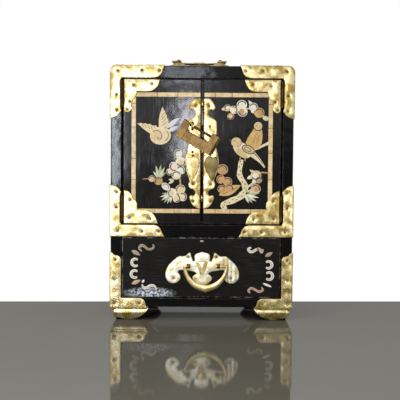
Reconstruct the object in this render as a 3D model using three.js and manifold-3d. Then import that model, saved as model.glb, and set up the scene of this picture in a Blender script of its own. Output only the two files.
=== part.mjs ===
// A black lacquer jewelry cabinet with brass mounts. Two hinged doors, held by a horizontal padlock,
// cover three small drawers; one wide drawer with a bat-shaped pull is below them.
// Units are millimetres. +X is right, +Y is back, +Z is up. The origin is on the floor, under the
// middle of the cabinet and its hardware.
import * as THREE from "three";
import { mergeVertices } from "three/addons/utils/BufferGeometryUtils.js";
import Module from "manifold-3d";

const wasm = await Module();
wasm.setup();

// Carcass
const WIDTH = 217;
const DEPTH = 158;
const TOP = 304;
const FOOT_HEIGHT = 16;
const SIDE_WALL = 13;
const TOP_BOARD = 15;
const MIDDLE_BOARD = 14.8;
const BOTTOM_BOARD = 11;
const BACK_BOARD = 6;
const DRAWER_OPENING = 73.5;
const CORNER_RADIUS = 7;

// Fits
const GAP = 0.1;
const RUNNING_GAP = 0.6;

// Brass sheet, its nails and the strip that turns round the corner of the carcass
const SHEET = 0.9;
const PROUD = GAP + SHEET;
const NAIL_RADIUS = 1.3;
const NAIL_HEIGHT = 0.6;
const WRAP = 14;

// Doors and their butt hinges
const DOOR_THICKNESS = 10;
const DOOR_MEETING_GAP = 2;
const HINGE_GAP = 1.4;
const HINGE_FORWARD = 1.6;
const HINGE_LENGTH = 31;
const KNUCKLE_RADIUS = 1.5;
const PIN_RADIUS = 0.6;
const PIN_HOLE_RADIUS = 0.9;
const LEAF = 0.45;
const LEAF_DEPTH = 9.6;

// Stone band let into each door, and the carved pictures laid on it
const BAND_WIDTH = 5.5;
const BAND_THICKNESS = 0.5;
const BAND_FROM_HINGE = 10.8;
const BAND_TOP = 272.6;
const BAND_BOTTOM = 128.8;
const PICTURE_THICKNESS = 0.5;

// Padlock, tilted as it hangs in the staple of the left door
const LOCK_TILT = 29.5;
const LOCK_LENGTH = 48.8;
const LOCK_HEIGHT = 22.4;
const LOCK_DEPTH = 9;
const BARREL_HEIGHT = 12.2;
const BOLT_END = 8.5;
const CASE_END = 11.5;
const CASE_END_RISE = 2;
const SHACKLE_RADIUS = 1.4;
const SHACKLE_HEIGHT = 20;
const STAPLE_X = 11.4;
const STAPLE_Z = 233;
const STAPLE_WIDTH = 3.6;
const STAPLE_HEIGHT = 12.5;
const STAPLE_DEPTH = 10.4;
const LOCK_CLEARANCE = 1.8;

// Wide drawer, its pull, and the three drawers behind the doors
const FRONT_BOARD = 9;
const TRAY_DEPTH = 126;
const PULL_Z = 66;
const PULL_POSTS = [-15.2, 20.4];
const PULL_PLATE_X = 1.3;
const PULL_X = 5.2;
const PULL_HALF_WIDTH = 26.8;
const PULL_DROP = 30.3;
const PULL_STANDOFF = 4.4;
const INNER_DRAWERS = ["upper", "middle", "lower"];
const CASE_SETBACK = 12;
const INNER_SETBACK = 20;
const CASE_WALL = 14.4;
const CASE_SHELF = 3;
const INNER_DEPTH = 120;
const KNOB_LENGTH = 6.5;

// Carrying handle on the top
const HANDLE_POSTS = 25.5;
const HANDLE_HALF_WIDTH = 34;
const HANDLE_REACH = 30;
const HANDLE_HEIGHT = 5.6;
const HANDLE_X = -4;
const HANDLE_REST = 6.5;
const ROSETTE_RADIUS = 10.5;
const ROSETTE_HEIGHT = 4.2;

// Places worked out from the sizes above
const FRONT = -DEPTH / 2;
const HALF = WIDTH / 2;
const INNER_HALF = HALF - SIDE_WALL;
const FLOOR_BOARD_TOP = FOOT_HEIGHT + BOTTOM_BOARD;
const RAIL_BOTTOM = FLOOR_BOARD_TOP + DRAWER_OPENING;
const RAIL_TOP = RAIL_BOTTOM + MIDDLE_BOARD;
const TOP_BOARD_BOTTOM = TOP - TOP_BOARD;
const HINGE_X = INNER_HALF - HINGE_GAP / 2;
const HINGE_Y = FRONT - HINGE_FORWARD;
const DOOR_BOTTOM = RAIL_TOP + RUNNING_GAP;
const DOOR_TOP = TOP_BOARD_BOTTOM - RUNNING_GAP;
const DOOR_EDGE = HINGE_GAP / 2;
const DOOR_END = HINGE_X - DOOR_MEETING_GAP / 2;
const LOCK_Y = FRONT - PROUD - LOCK_CLEARANCE - LOCK_DEPTH / 2;
const FRONT_REACH = -(LOCK_Y - STAPLE_DEPTH / 2);
const BACK_REACH = DEPTH / 2 + PROUD + NAIL_HEIGHT;
const CENTRE_SHIFT = (FRONT_REACH - BACK_REACH) / 2;
const TURN = Math.PI / 180;

// Booleans on closed meshes
function solidOf(geometry) {
  const bare = geometry.clone();
  bare.deleteAttribute("normal");
  bare.deleteAttribute("uv");
  const merged = mergeVertices(bare, 1e-4);
  return new wasm.Manifold(new wasm.Mesh({
    numProp: 3,
    vertProperties: new Float32Array(merged.attributes.position.array),
    triVerts: new Uint32Array(merged.index.array),
  }));
}

function geometryOf(solid) {
  const mesh = solid.getMesh();
  const geometry = new THREE.BufferGeometry();
  geometry.setAttribute("position", new THREE.BufferAttribute(mesh.vertProperties, 3));
  geometry.setIndex(new THREE.BufferAttribute(mesh.triVerts, 1));
  geometry.computeVertexNormals();
  return geometry;
}

function join(...geometries) {
  const solids = geometries.map(solidOf);
  return geometryOf(solids.reduce((sum, next) => sum.add(next)));
}

function cut(blank, ...tools) {
  return geometryOf(tools.reduce((left, tool) => left.subtract(solidOf(tool)), solidOf(blank)));
}

function common(first, second) {
  return geometryOf(solidOf(first).intersect(solidOf(second)));
}

// The same piece for the other side: x, y or both change sign
function mirrored(geometry, signX, signY) {
  const copy = geometryOf(solidOf(geometry));
  copy.scale(signX, signY, 1);
  if (signX * signY < 0) {
    const order = Array.from(copy.index.array);
    for (let i = 0; i < order.length; i += 3) {
      [order[i + 1], order[i + 2]] = [order[i + 2], order[i + 1]];
    }
    copy.setIndex(order);
  }
  copy.computeVertexNormals();
  return copy;
}

// Basic solids
function block(x0, x1, y0, y1, z0, z1) {
  const box = new THREE.BoxGeometry(x1 - x0, y1 - y0, z1 - z0);
  return box.translate((x0 + x1) / 2, (y0 + y1) / 2, (z0 + z1) / 2);
}

function rod(axis, radius, from, to, [first, second], sides = 12) {
  const cylinder = new THREE.CylinderGeometry(radius, radius, to - from, sides);
  const middle = (from + to) / 2;
  if (axis === "x") {
    return cylinder.rotateZ(Math.PI / 2).translate(middle, first, second);
  }
  if (axis === "z") {
    return cylinder.rotateX(Math.PI / 2).translate(first, second, middle);
  }
  return cylinder.translate(first, middle, second);
}

function outline(points) {
  return new THREE.Shape(points.map(([x, y]) => new THREE.Vector2(x, y)));
}

// An outline drawn in X and Z, filled from yFront to yBack
function slabXZ(shape, yFront, yBack) {
  const slab = new THREE.ExtrudeGeometry(shape, { depth: yBack - yFront, bevelEnabled: false, curveSegments: 6 });
  return slab.rotateX(Math.PI / 2).translate(0, yBack, 0);
}

// An outline drawn in Y and Z, filled from x0 to x1
function slabYZ(shape, x0, x1) {
  const slab = new THREE.ExtrudeGeometry(shape, { depth: x1 - x0, bevelEnabled: false, curveSegments: 6 });
  const turn = new THREE.Matrix4().makeBasis(
    new THREE.Vector3(0, 1, 0),
    new THREE.Vector3(0, 0, 1),
    new THREE.Vector3(1, 0, 0),
  );
  return slab.applyMatrix4(turn).translate(x0, 0, 0);
}

// An outline drawn in X and Y, filled from z0 to z1
function slabXY(shape, z0, z1) {
  const slab = new THREE.ExtrudeGeometry(shape, { depth: z1 - z0, bevelEnabled: false, curveSegments: 6 });
  return slab.translate(0, 0, z0);
}

// A domed nail head on a face that looks to the front, with its base sunk a little in the sheet
function nail(x, yFace, z) {
  const head = new THREE.CylinderGeometry(NAIL_RADIUS * 0.55, NAIL_RADIUS, NAIL_HEIGHT * 1.5, 7);
  return head.rotateX(Math.PI).translate(x, yFace - NAIL_HEIGHT / 4, z);
}

// Finishes
function finish(color, roughness, metalness) {
  return new THREE.MeshStandardMaterial({ color, roughness, metalness });
}
const lacquer = () => finish(0x17171b, 0.22, 0);
const brass = () => finish(0xe3cf8e, 0.28, 1);
const oldBrass = () => finish(0x9a7a42, 0.42, 1);
const stone = () => finish(0xdcbc82, 0.45, 0);
const shell = () => finish(0xeadfc6, 0.3, 0);
const lining = () => finish(0x6d1a1c, 0.6, 0);

const object = new THREE.Group();
const cabinet = new THREE.Group();
cabinet.position.y = CENTRE_SHIFT;
object.add(cabinet);

function piece(parent, name, geometry, material, x = 0, y = 0, z = 0) {
  const mesh = new THREE.Mesh(geometry, material);
  mesh.name = name;
  mesh.position.set(x, y, z);
  parent.add(mesh);
}

// Carcass boards. The top board is rounded along its two ends.
function topBoard() {
  const shape = new THREE.Shape();
  shape.moveTo(-HALF, TOP_BOARD_BOTTOM);
  shape.lineTo(HALF, TOP_BOARD_BOTTOM);
  shape.lineTo(HALF, TOP - CORNER_RADIUS);
  shape.absarc(HALF - CORNER_RADIUS, TOP - CORNER_RADIUS, CORNER_RADIUS, 0, Math.PI / 2);
  shape.lineTo(-HALF + CORNER_RADIUS, TOP);
  shape.absarc(-HALF + CORNER_RADIUS, TOP - CORNER_RADIUS, CORNER_RADIUS, Math.PI / 2, Math.PI);
  return slabXZ(shape, FRONT, -FRONT);
}

function carcass() {
  const low = FLOOR_BOARD_TOP + GAP;
  const high = TOP_BOARD_BOTTOM - GAP;
  const sideBoard = block(INNER_HALF, HALF, FRONT, -FRONT, low, high);
  const backFace = -FRONT - BACK_BOARD;
  const inner = INNER_HALF - GAP;
  piece(cabinet, "top_board", topBoard(), lacquer());
  piece(cabinet, "bottom_board", block(-HALF, HALF, FRONT, -FRONT, FOOT_HEIGHT, FLOOR_BOARD_TOP), lacquer());
  piece(cabinet, "right_side_board", sideBoard, lacquer());
  piece(cabinet, "left_side_board", mirrored(sideBoard, -1, 1), lacquer());
  piece(cabinet, "back_board", block(-inner, inner, backFace, -FRONT, low, high), lacquer());
  const rail = block(-inner, inner, FRONT, backFace - GAP, RAIL_BOTTOM, RAIL_TOP);
  piece(cabinet, "middle_board", rail, lacquer());
}

// Bracket feet. Each face swells out under a small bead; the lower edge sweeps up to the carcass.
// The brass cap's lower edge is a bow that leaves a little of the wood to be seen below it.
// Heights are above the floor and insets are behind the carcass face above.
const FOOT_SWELL = [
  [16, 0.4], [15, 0.4], [14, 1.2], [12, 0.9], [9, 0.7], [6, 1.3], [3, 2.5], [1, 3.7], [0, 4.8],
];
const FOOT_SIDE_INSET = 3.6;
const FOOT_ARM = 12;
const FOOT_CLEAR = 0.15;
const CAP_ARM = 11;
const FRONT_ARM = { reach: 57, sweep: [[30, 0], [41, 3.9], [50, 8.3], [57, 14.8]] };
const SIDE_ARM = { reach: 48, sweep: [[24, 0], [33, 3.9], [41, 8.3], [48, 14.8]] };
const FRONT_CAP = {
  reach: 45,
  sweep: [[6, 3.4], [11, 1.7], [16, 0.8], [24, 0.8], [30, 1.6], [37, 5.1], [42, 9.5], [45, 14.2]],
};
const SIDE_CAP = {
  reach: 36,
  sweep: [[3, 3.4], [8, 1.7], [12, 0.8], [17, 0.8], [22, 1.6], [29, 5.1], [33, 9.5], [36, 14.2]],
};

function footProfile(thickness, grow, sideInset) {
  const face = FOOT_SWELL.map(([z, inset]) => [inset + (z < 15 ? sideInset : 0) - grow, z]);
  return outline([...face, [thickness, 0], [thickness, FOOT_HEIGHT]]);
}

function armOutline(arm, profileInset, grow) {
  const lowest = arm.sweep[0][1];
  const swell = FOOT_SWELL.filter(([z]) => z >= lowest);
  const face = swell.map(([z, inset]) => [inset + (z < 15 ? profileInset : 0) - grow, z]);
  return outline([...face, ...arm.sweep, [arm.reach, FOOT_HEIGHT]]);
}

function footSolid(frontArm, sideArm, thickness, grow) {
  const long = 60;
  const frontFace = slabXZ(armOutline(frontArm, FOOT_SIDE_INSET, grow), -2, thickness);
  const frontSwell = slabYZ(footProfile(thickness, grow, 0), -2, long);
  const sideFace = slabYZ(armOutline(sideArm, 0, grow), -2, thickness);
  const sideSwell = slabXZ(footProfile(thickness, grow, FOOT_SIDE_INSET), -2, long);
  return join(common(frontFace, frontSwell), common(sideFace, sideSwell));
}

function foot() {
  const wood = footSolid(FRONT_ARM, SIDE_ARM, FOOT_ARM, 0);
  return common(wood, block(-5, 70, -5, 70, 0, FOOT_HEIGHT - GAP));
}

// Brass over a foot and up the stile: a cap round the foot, a strip on the front and one on the side
const FOOT_PLATE = [
  [-PROUD, -0.6], [45, -0.6], [42.6, 1.4], [41.9, 3.8], [40.6, 7.8], [36.3, 10.8], [12.6, 10.8], [12.6, 56.5],
  [12, 59], [9.5, 61.3], [4.5, 62.6], [1.7, 65.6], [-PROUD, 65.8],
];
const FOOT_NAILS = [[4.8, 4], [34.5, 4.4], [6, 57], [4.8, 33]];

function footMount() {
  const shellBlank = footSolid(FRONT_CAP, SIDE_CAP, CAP_ARM, PROUD);
  const hollow = footSolid(FRONT_ARM, SIDE_ARM, FOOT_ARM, FOOT_CLEAR);
  const trimmed = common(shellBlank, block(-5, 70, -5, 70, 0.4, FOOT_HEIGHT - 0.2));
  const cap = cut(trimmed, hollow);
  const plate = slabXZ(outline(FOOT_PLATE), -PROUD, -GAP).translate(0, 0, FOOT_HEIGHT);
  const strip = block(-PROUD, -GAP, -PROUD, WRAP, FOOT_HEIGHT - 0.6, FOOT_HEIGHT + 62);
  const nails = FOOT_NAILS.map(([x, z]) => nail(x, -PROUD, z + FOOT_HEIGHT));
  return join(cap, plate, strip, ...nails);
}

// Brass on an outer corner of the carcass: an L on the front and a strip bent round the edge.
// The point (0, 0) is the corner of the wood; the legs run inwards along +x and down along -z.
const CORNER_LEG = 62.2;
const CORNER_REACH = 64.4;
const CORNER_PLATE = [
  [CORNER_REACH, PROUD], [62, -4], [60.5, -8], [57, -12.5], [52, -14.4], [12.6, -14.4], [12.6, -16], [11.3, -17],
  [11.3, -49.5], [12.8, -53.5], [8.5, -58.5], [3.5, -61.4], [-PROUD, -CORNER_LEG],
];
const CORNER_NAILS = [[8.6, -6], [37, -5.2], [57.4, -5.6], [6.8, -34.5], [7, -52.5]];

function cornerPlate() {
  const shape = outline(CORNER_PLATE);
  shape.lineTo(-PROUD, -CORNER_RADIUS);
  shape.absarc(CORNER_RADIUS, -CORNER_RADIUS, CORNER_RADIUS + PROUD, Math.PI, Math.PI / 2, true);
  return slabXZ(shape, -PROUD, -GAP);
}

function cornerStrip() {
  const end = CORNER_REACH - 2;
  const shape = new THREE.Shape();
  shape.moveTo(-PROUD, -CORNER_LEG + 2);
  shape.lineTo(-PROUD, -CORNER_RADIUS);
  shape.absarc(CORNER_RADIUS, -CORNER_RADIUS, CORNER_RADIUS + PROUD, Math.PI, Math.PI / 2, true);
  shape.lineTo(end, PROUD);
  shape.lineTo(end, GAP);
  shape.lineTo(CORNER_RADIUS, GAP);
  shape.absarc(CORNER_RADIUS, -CORNER_RADIUS, CORNER_RADIUS + GAP, Math.PI / 2, Math.PI, false);
  shape.lineTo(-GAP, -CORNER_LEG + 2);
  return slabXZ(shape, -PROUD, WRAP);
}

function cornerMount() {
  const nails = CORNER_NAILS.map(([x, z]) => nail(x, -PROUD, z));
  return join(cornerPlate(), cornerStrip(), ...nails);
}

// Brass where the middle board meets the stile: the same L the other way up, with a square corner
function middleMount() {
  const turned = [[CORNER_REACH, 0], ...CORNER_PLATE.slice(1), [-PROUD, 0]].map(([x, z]) => [x, -z]);
  const plate = slabXZ(outline(turned), -PROUD, -GAP);
  const strip = block(-PROUD, -GAP, -PROUD, WRAP, 0, CORNER_LEG - 2);
  const nails = CORNER_NAILS.map(([x, z]) => nail(x, -PROUD, -z + 0.8));
  return join(plate, strip, ...nails);
}

function carcassMounts() {
  const corner = cornerMount();
  const base = footMount();
  const wood = foot();
  const middle = middleMount();
  for (const [side, signX] of [["left", 1], ["right", -1]]) {
    const x = -HALF * signX;
    for (const [end, signY] of [["front", 1], ["rear", -1]]) {
      const y = FRONT * signY;
      const place = `${side}_${end}`;
      piece(cabinet, `${place}_foot`, mirrored(wood, signX, signY), lacquer(), x, y, 0);
      piece(cabinet, `${place}_foot_mount`, mirrored(base, signX, signY), brass(), x, y, 0);
      piece(cabinet, `${place}_top_mount`, mirrored(corner, signX, signY), brass(), x, y, TOP);
    }
    piece(cabinet, `${side}_middle_mount`, mirrored(middle, signX, 1), brass(), x, FRONT, RAIL_BOTTOM + GAP);
  }
}

// Butt hinges. Coordinates are from the hinge axis; the door lies towards +x. The frame leaf holds
// the pin and the two outer knuckles, and the door leaf the middle one.
const KNUCKLE_GAP = 0.3;
const KNUCKLE = (HINGE_LENGTH - 2 * KNUCKLE_GAP) / 3;
const BEHIND_KNUCKLE = KNUCKLE_RADIUS + 0.4;
const UPPER_HINGE = 255.5;
const LOWER_HINGE = 119;

function frameLeaf() {
  const low = KNUCKLE;
  const high = KNUCKLE + 2 * KNUCKLE_GAP + KNUCKLE;
  const x0 = -DOOR_EDGE + GAP;
  return join(
    rod("z", PIN_RADIUS, 0.5, HINGE_LENGTH - 0.5, [0, 0], 8),
    rod("z", KNUCKLE_RADIUS, 0, low, [0, 0]),
    rod("z", KNUCKLE_RADIUS, high, HINGE_LENGTH, [0, 0]),
    block(x0, x0 + LEAF, 0, LEAF_DEPTH, 0, low),
    block(x0, x0 + LEAF, 0, LEAF_DEPTH, high, HINGE_LENGTH),
    block(x0, x0 + LEAF, BEHIND_KNUCKLE, LEAF_DEPTH, 0, HINGE_LENGTH),
  );
}

function doorLeaf() {
  const low = KNUCKLE + KNUCKLE_GAP;
  const high = low + KNUCKLE;
  const x1 = DOOR_EDGE - GAP;
  const body = join(
    rod("z", KNUCKLE_RADIUS, low, high, [0, 0]),
    block(x1 - LEAF, x1, 0, LEAF_DEPTH, low, high),
    block(x1 - LEAF, x1, BEHIND_KNUCKLE, LEAF_DEPTH, 0, HINGE_LENGTH),
  );
  return cut(body, rod("z", PIN_HOLE_RADIUS, low - 1, high + 1, [0, 0], 12));
}

// Door brass. Distances are from the hinge axis, and up from the foot or down from the head of the door.
const DOOR_TOP_PLATE = [
  [2, -0.3], [44.8, -0.3], [43.6, -4.5], [41.5, -9], [37, -13.4], [30, -14.9], [17.6, -14.9], [15.8, -21],
  [12, -26], [10.9, -31], [11.4, -35.5], [8.4, -39], [5.1, -39.8], [2, -37.5],
];
const DOOR_TOP_NAILS = [[13.3, -7.4], [34.8, -5.6], [9, -27], [5.6, -36]];
const DOOR_BOTTOM_PLATE = [
  [2, 0.3], [42.5, 0.3], [41, 6], [38, 11], [33.5, 15], [28, 16.6], [18, 16.6], [17.8, 25.5], [13.6, 30.5],
  [11, 35.5], [7, 39], [2, 40.4],
];
const DOOR_BOTTOM_NAILS = [[9.6, 28.5], [9, 7.2], [33, 6.2]];

// Half of the lock plate: distance from the meeting line of the doors, and height above the floor
const LOCK_PLATE = [
  [1.8, 265.4], [5, 265.9], [9, 265.2], [12, 262.6], [14.5, 258.5], [15.5, 254.3], [13.5, 251.6], [10.4, 252],
  [8, 250], [7.8, 246.5], [10.5, 243.5], [14.5, 241.2], [17, 238], [17.4, 225.6], [16.4, 213], [17.5, 205],
  [19.6, 197], [20.2, 190], [18.8, 180], [15.8, 171.5], [14.8, 168], [16, 163.6], [14.5, 159.3], [9, 156.2],
  [7.6, 152.6], [9.5, 150], [13, 150.8], [14.8, 148.5], [13.6, 143.5], [9.9, 137.7], [5.4, 134.9], [1.8, 134.3],
];
const LOCK_SHIELD = [
  [3, 190], [4.6, 195], [9, 197.5], [13, 196], [16.8, 197], [19, 192.6], [19.2, 187], [17.6, 180], [15.2, 173],
  [12.4, 166.8], [9.4, 171], [6, 177], [3.8, 183],
];
const LOCK_NAILS = [[10.4, 164], [10.4, 143.6], [7.8, 257]];
const SHIELD_RISE = 0.7;

function doorPlate(points, nails, baseZ) {
  const plateFront = HINGE_FORWARD - PROUD;
  const heads = nails.map(([x, z]) => nail(x, plateFront, z));
  return join(slabXZ(outline(points), plateFront, HINGE_FORWARD - GAP), ...heads).translate(0, 0, baseZ);
}

function lockPlate(extra = []) {
  const fromHinge = ([d, z]) => [HINGE_X - d, z];
  const plateFront = HINGE_FORWARD - PROUD;
  const sheet = slabXZ(outline(LOCK_PLATE.map(fromHinge)), plateFront, HINGE_FORWARD - GAP);
  const shield = slabXZ(outline(LOCK_SHIELD.map(fromHinge)), plateFront - SHIELD_RISE, HINGE_FORWARD - 2 * GAP);
  const heads = LOCK_NAILS.map(fromHinge).map(([x, z]) => nail(x, plateFront, z));
  return join(sheet, shield, ...heads, ...extra);
}

// A small diamond stud, on the right door only
function stud() {
  const points = [[0, 3], [1.8, 0], [0, -3.4], [-1.8, 0]];
  const shape = outline(points.map(([x, z]) => [HINGE_X - 9.2 + x, z + 232.5]));
  return slabXZ(shape, HINGE_FORWARD - PROUD - 0.9, HINGE_FORWARD - 2 * GAP);
}

function doorPanel() {
  const face = HINGE_FORWARD;
  const slack = 0.15;
  const panel = block(DOOR_EDGE, DOOR_END, face, face + DOOR_THICKNESS, DOOR_BOTTOM, DOOR_TOP);
  const groove = bandSolid(slack, face - 1, face + BAND_THICKNESS + GAP);
  return cut(panel, groove);
}

// The C-shaped stone band: up the hinge side and across the top and the foot of the door
function bandSolid(slack, y0, y1) {
  const x0 = BAND_FROM_HINGE - slack;
  const x1 = DOOR_END - 1 + slack;
  const inner = BAND_FROM_HINGE + BAND_WIDTH + slack;
  return join(
    block(x0, inner, y0, y1, BAND_BOTTOM - slack, BAND_TOP + slack),
    block(x0, x1, y0, y1, BAND_TOP - BAND_WIDTH - slack, BAND_TOP + slack),
    block(x0, x1, y0, y1, BAND_BOTTOM - slack, BAND_BOTTOM + BAND_WIDTH + slack),
  );
}

// Carved picture pieces, drawn in x from the meeting line of the doors and height above the floor
function picture(outlines) {
  const slabs = outlines.map((points) => slabXZ(outline(points), -PICTURE_THICKNESS - GAP, -GAP));
  return join(...slabs).translate(0, HINGE_FORWARD, 0);
}

function blossom(x, z, radius, petals = 5) {
  const count = petals * 4;
  const points = [];
  for (let i = 0; i < count; i += 1) {
    const angle = (2 * Math.PI * i) / count;
    const r = radius * (1 + 0.16 * Math.cos(petals * angle));
    points.push([x + r * Math.cos(angle), z + r * Math.sin(angle)]);
  }
  return points;
}

function leaf(x, z, length, width, degrees) {
  const along = [Math.cos(degrees * TURN), Math.sin(degrees * TURN)];
  const stations = [[0, 0], [0.3, 0.5], [0.6, 0.42], [1, 0], [0.6, -0.42], [0.3, -0.5]];
  return stations.map(([s, w]) => [
    x + along[0] * length * s - along[1] * width * w,
    z + along[1] * length * s + along[0] * width * w,
  ]);
}

// A tapering branch along a few points
function branch(points, startWidth, endWidth) {
  const line = new THREE.CatmullRomCurve3(points.map(([x, z]) => new THREE.Vector3(x, 0, z)));
  const steps = points.length * 2;
  const leftEdge = [];
  const rightEdge = [];
  for (let i = 0; i <= steps; i += 1) {
    const t = i / steps;
    const at = line.getPointAt(t);
    const along = line.getTangentAt(t);
    const half = (startWidth + (endWidth - startWidth) * t) / 2;
    leftEdge.push([at.x - along.z * half, at.z + along.x * half]);
    rightEdge.push([at.x + along.z * half, at.z - along.x * half]);
  }
  return [...leftEdge, ...rightEdge.reverse()];
}

const FLYING_BIRD = [
  [-78, 235], [-72.5, 231.5], [-68.6, 228.2], [-62.8, 224], [-61.6, 218], [-59.5, 213.5], [-55, 210.2],
  [-49.5, 208.8], [-44.4, 209.2], [-40.2, 212.5], [-37.6, 218], [-36.4, 224.5], [-32.6, 230.5], [-29, 237],
  [-27.4, 243.2], [-32, 240.5], [-36.8, 236.8], [-40.6, 239.5], [-42, 245], [-44, 250], [-47.4, 256],
  [-49.6, 249.5], [-50.8, 242], [-51.6, 235.2], [-57.5, 233.4], [-64, 235], [-71, 236],
];
const FRONT_BIRD = [
  [33.6, 216.2], [36.4, 218.6], [38.6, 221.2], [42, 221.4], [44.8, 218.8], [48.6, 215.2], [54, 212], [59.5, 208.6],
  [64.5, 204], [68, 199.6], [72, 193.4], [75.2, 187], [70.5, 189.6], [64, 192.6], [57.5, 194.6], [50.5, 194.6],
  [44, 196.8], [39.6, 200.8], [37, 206.4], [36, 212],
];
const BACK_BIRD = [
  [59, 231], [61.6, 232.6], [62.4, 236], [65.6, 237.6], [69, 236.4], [70.6, 233], [69.6, 229.4], [71.4, 222.6],
  [70.8, 215], [69.8, 208.6], [64, 205.5], [57, 208], [51, 214.8], [53.8, 220], [57.4, 225.4], [61, 228.6],
];

function leftBird() {
  return picture([FLYING_BIRD]);
}

function leftBlossoms() {
  return picture([
    branch([[-69.5, 169.6], [-60, 170.4], [-50, 168], [-42, 161], [-33, 154], [-23.5, 151]], 1.6, 3),
    blossom(-60.6, 170.4, 3.3), blossom(-51.4, 168.6, 4.1), blossom(-42.2, 160.4, 5.2),
    leaf(-52, 171, 14, 4, 78), leaf(-51, 171, 13, 4, 55), leaf(-53, 171, 10, 3, 120), leaf(-48, 169, 9, 4, 30),
    blossom(-33.6, 152.6, 5.4), blossom(-25.4, 156.6, 4.6), blossom(-26.2, 147.6, 5.2),
    leaf(-34, 151, 14, 4, 195), leaf(-34, 151, 13, 3.6, 225), leaf(-33, 151, 13, 3.4, 255),
    branch([[-26, 156], [-25.4, 166], [-27.4, 178], [-27, 196]], 2.4, 2),
    blossom(-29.4, 177.6, 8.6), blossom(-27.2, 195.6, 6.4),
  ]);
}

const TRUNK = [
  [46, 196.5], [45.4, 188], [44.8, 174], [50.6, 165], [52, 157], [46, 148.4], [36.4, 144.2], [24.4, 139],
];

function rightBirds() {
  return picture([
    FRONT_BIRD, BACK_BIRD,
    branch([[60, 205.5], [67, 207], [73, 210.5], [80, 213.4]], 3, 2.2),
    branch(TRUNK, 7, 7.4),
    blossom(25.6, 182.6, 5.6), blossom(22.4, 170, 5.4), blossom(31, 167, 5.2), blossom(32.6, 159.6, 5.2),
    blossom(24.4, 155.6, 5.2), leaf(23, 153, 29, 9, 18),
    blossom(64.4, 172.4, 6.4), blossom(65, 158.6, 5.4), leaf(62, 170, 10, 4, 200),
    branch([[51, 160], [57, 162], [64, 166]], 3, 2),
    leaf(54, 154, 16, 4.4, 20), leaf(53, 153, 16, 4.4, -10), leaf(53, 152, 14, 4.4, -38), leaf(52, 151, 12, 4, -64),
    branch([[24, 156], [23, 170], [26, 182]], 3, 2.4),
  ]);
}

function rightBlossoms() {
  return picture([
    branch([[28, 253.5], [37, 252], [47.6, 253.6], [60, 254], [68, 250], [73, 243.4], [78.6, 240.6]], 2, 2.6),
    blossom(30.2, 255, 3.8), leaf(30, 253.6, 8, 3.6, 205), blossom(36.6, 252.6, 4.8), blossom(33.4, 246.2, 3.8),
    blossom(46.4, 258, 5.4), blossom(47.8, 250.2, 5.4), leaf(57, 256, 9, 4, 120), blossom(60.2, 255, 5.2),
    blossom(68, 250.4, 5.2),
  ]);
}

function doorPair() {
  for (const [side, sign] of [["left", 1], ["right", -1]]) {
    const door = new THREE.Group();
    door.position.set(-HINGE_X * sign, HINGE_Y, 0);
    cabinet.add(door);
    const lockExtra = side === "right" ? [stud()] : [];
    const add = (name, geometry, material) => piece(door, `${side}_${name}`, mirrored(geometry, sign, 1), material);
    add("door_panel", doorPanel(), lacquer());
    add("door_band", bandSolid(0, HINGE_FORWARD, HINGE_FORWARD + BAND_THICKNESS), stone());
    add("door_top_mount", doorPlate(DOOR_TOP_PLATE, DOOR_TOP_NAILS, DOOR_TOP), brass());
    add("door_bottom_mount", doorPlate(DOOR_BOTTOM_PLATE, DOOR_BOTTOM_NAILS, DOOR_BOTTOM), brass());
    add("lock_plate", lockPlate(lockExtra), brass());
    for (const [level, height] of [["upper", UPPER_HINGE], ["lower", LOWER_HINGE]]) {
      const leafX = -HINGE_X * sign;
      add(`${level}_hinge_door_leaf`, doorLeaf().translate(0, 0, height), brass());
      const frame = mirrored(frameLeaf(), sign, 1);
      piece(cabinet, `${side}_${level}_hinge_frame_leaf`, frame, brass(), leafX, HINGE_Y, height);
    }
  }
  const pictures = [
    ["left_bird_inlay", leftBird(), shell()],
    ["left_blossom_inlay", leftBlossoms(), shell()],
    ["right_bird_inlay", rightBirds(), stone()],
    ["right_blossom_inlay", rightBlossoms(), shell()],
  ];
  for (const [name, geometry, material] of pictures) {
    piece(cabinet, name, geometry, material, 0, HINGE_Y, 0);
  }
}

// The staple is an upright eye on a shank that stands on the left lock plate
function staple() {
  const eye = new THREE.Shape();
  eye.absellipse(0, 0, STAPLE_DEPTH / 2, STAPLE_HEIGHT / 2, 0, 2 * Math.PI);
  const opening = new THREE.Path();
  opening.absellipse(0, 0, STAPLE_DEPTH / 2 - 2, STAPLE_HEIGHT / 2 - 2.6, 0, 2 * Math.PI);
  eye.holes.push(opening);
  const half = STAPLE_WIDTH / 2;
  const foot = FRONT - PROUD - GAP - LOCK_Y;
  const ring = slabYZ(eye, -half, half);
  const shank = block(-half, half, STAPLE_DEPTH / 2 - 1.2, foot, -2.4, 2.4);
  return join(ring, shank);
}

// Padlock. The point (0, 0) is where the rod goes through the staple; x runs along the lock.
const LOCK_LEFT = -12.3;
const LOCK_RIGHT = LOCK_LEFT + LOCK_LENGTH;
const LOCK_BOTTOM = -SHACKLE_HEIGHT;
const LOCK_CHAMFER = 1.3;
const BARREL_WALL = 1.9;

function lockBlock(x0, x1, z0, z1) {
  const half = LOCK_DEPTH / 2;
  const c = LOCK_CHAMFER;
  const section = outline([
    [-half + c, z0], [half - c, z0], [half, z0 + c], [half, z1 - c], [half - c, z1], [-half + c, z1],
    [-half, z1 - c], [-half, z0 + c],
  ]);
  return slabYZ(section, x0, x1);
}

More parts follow.
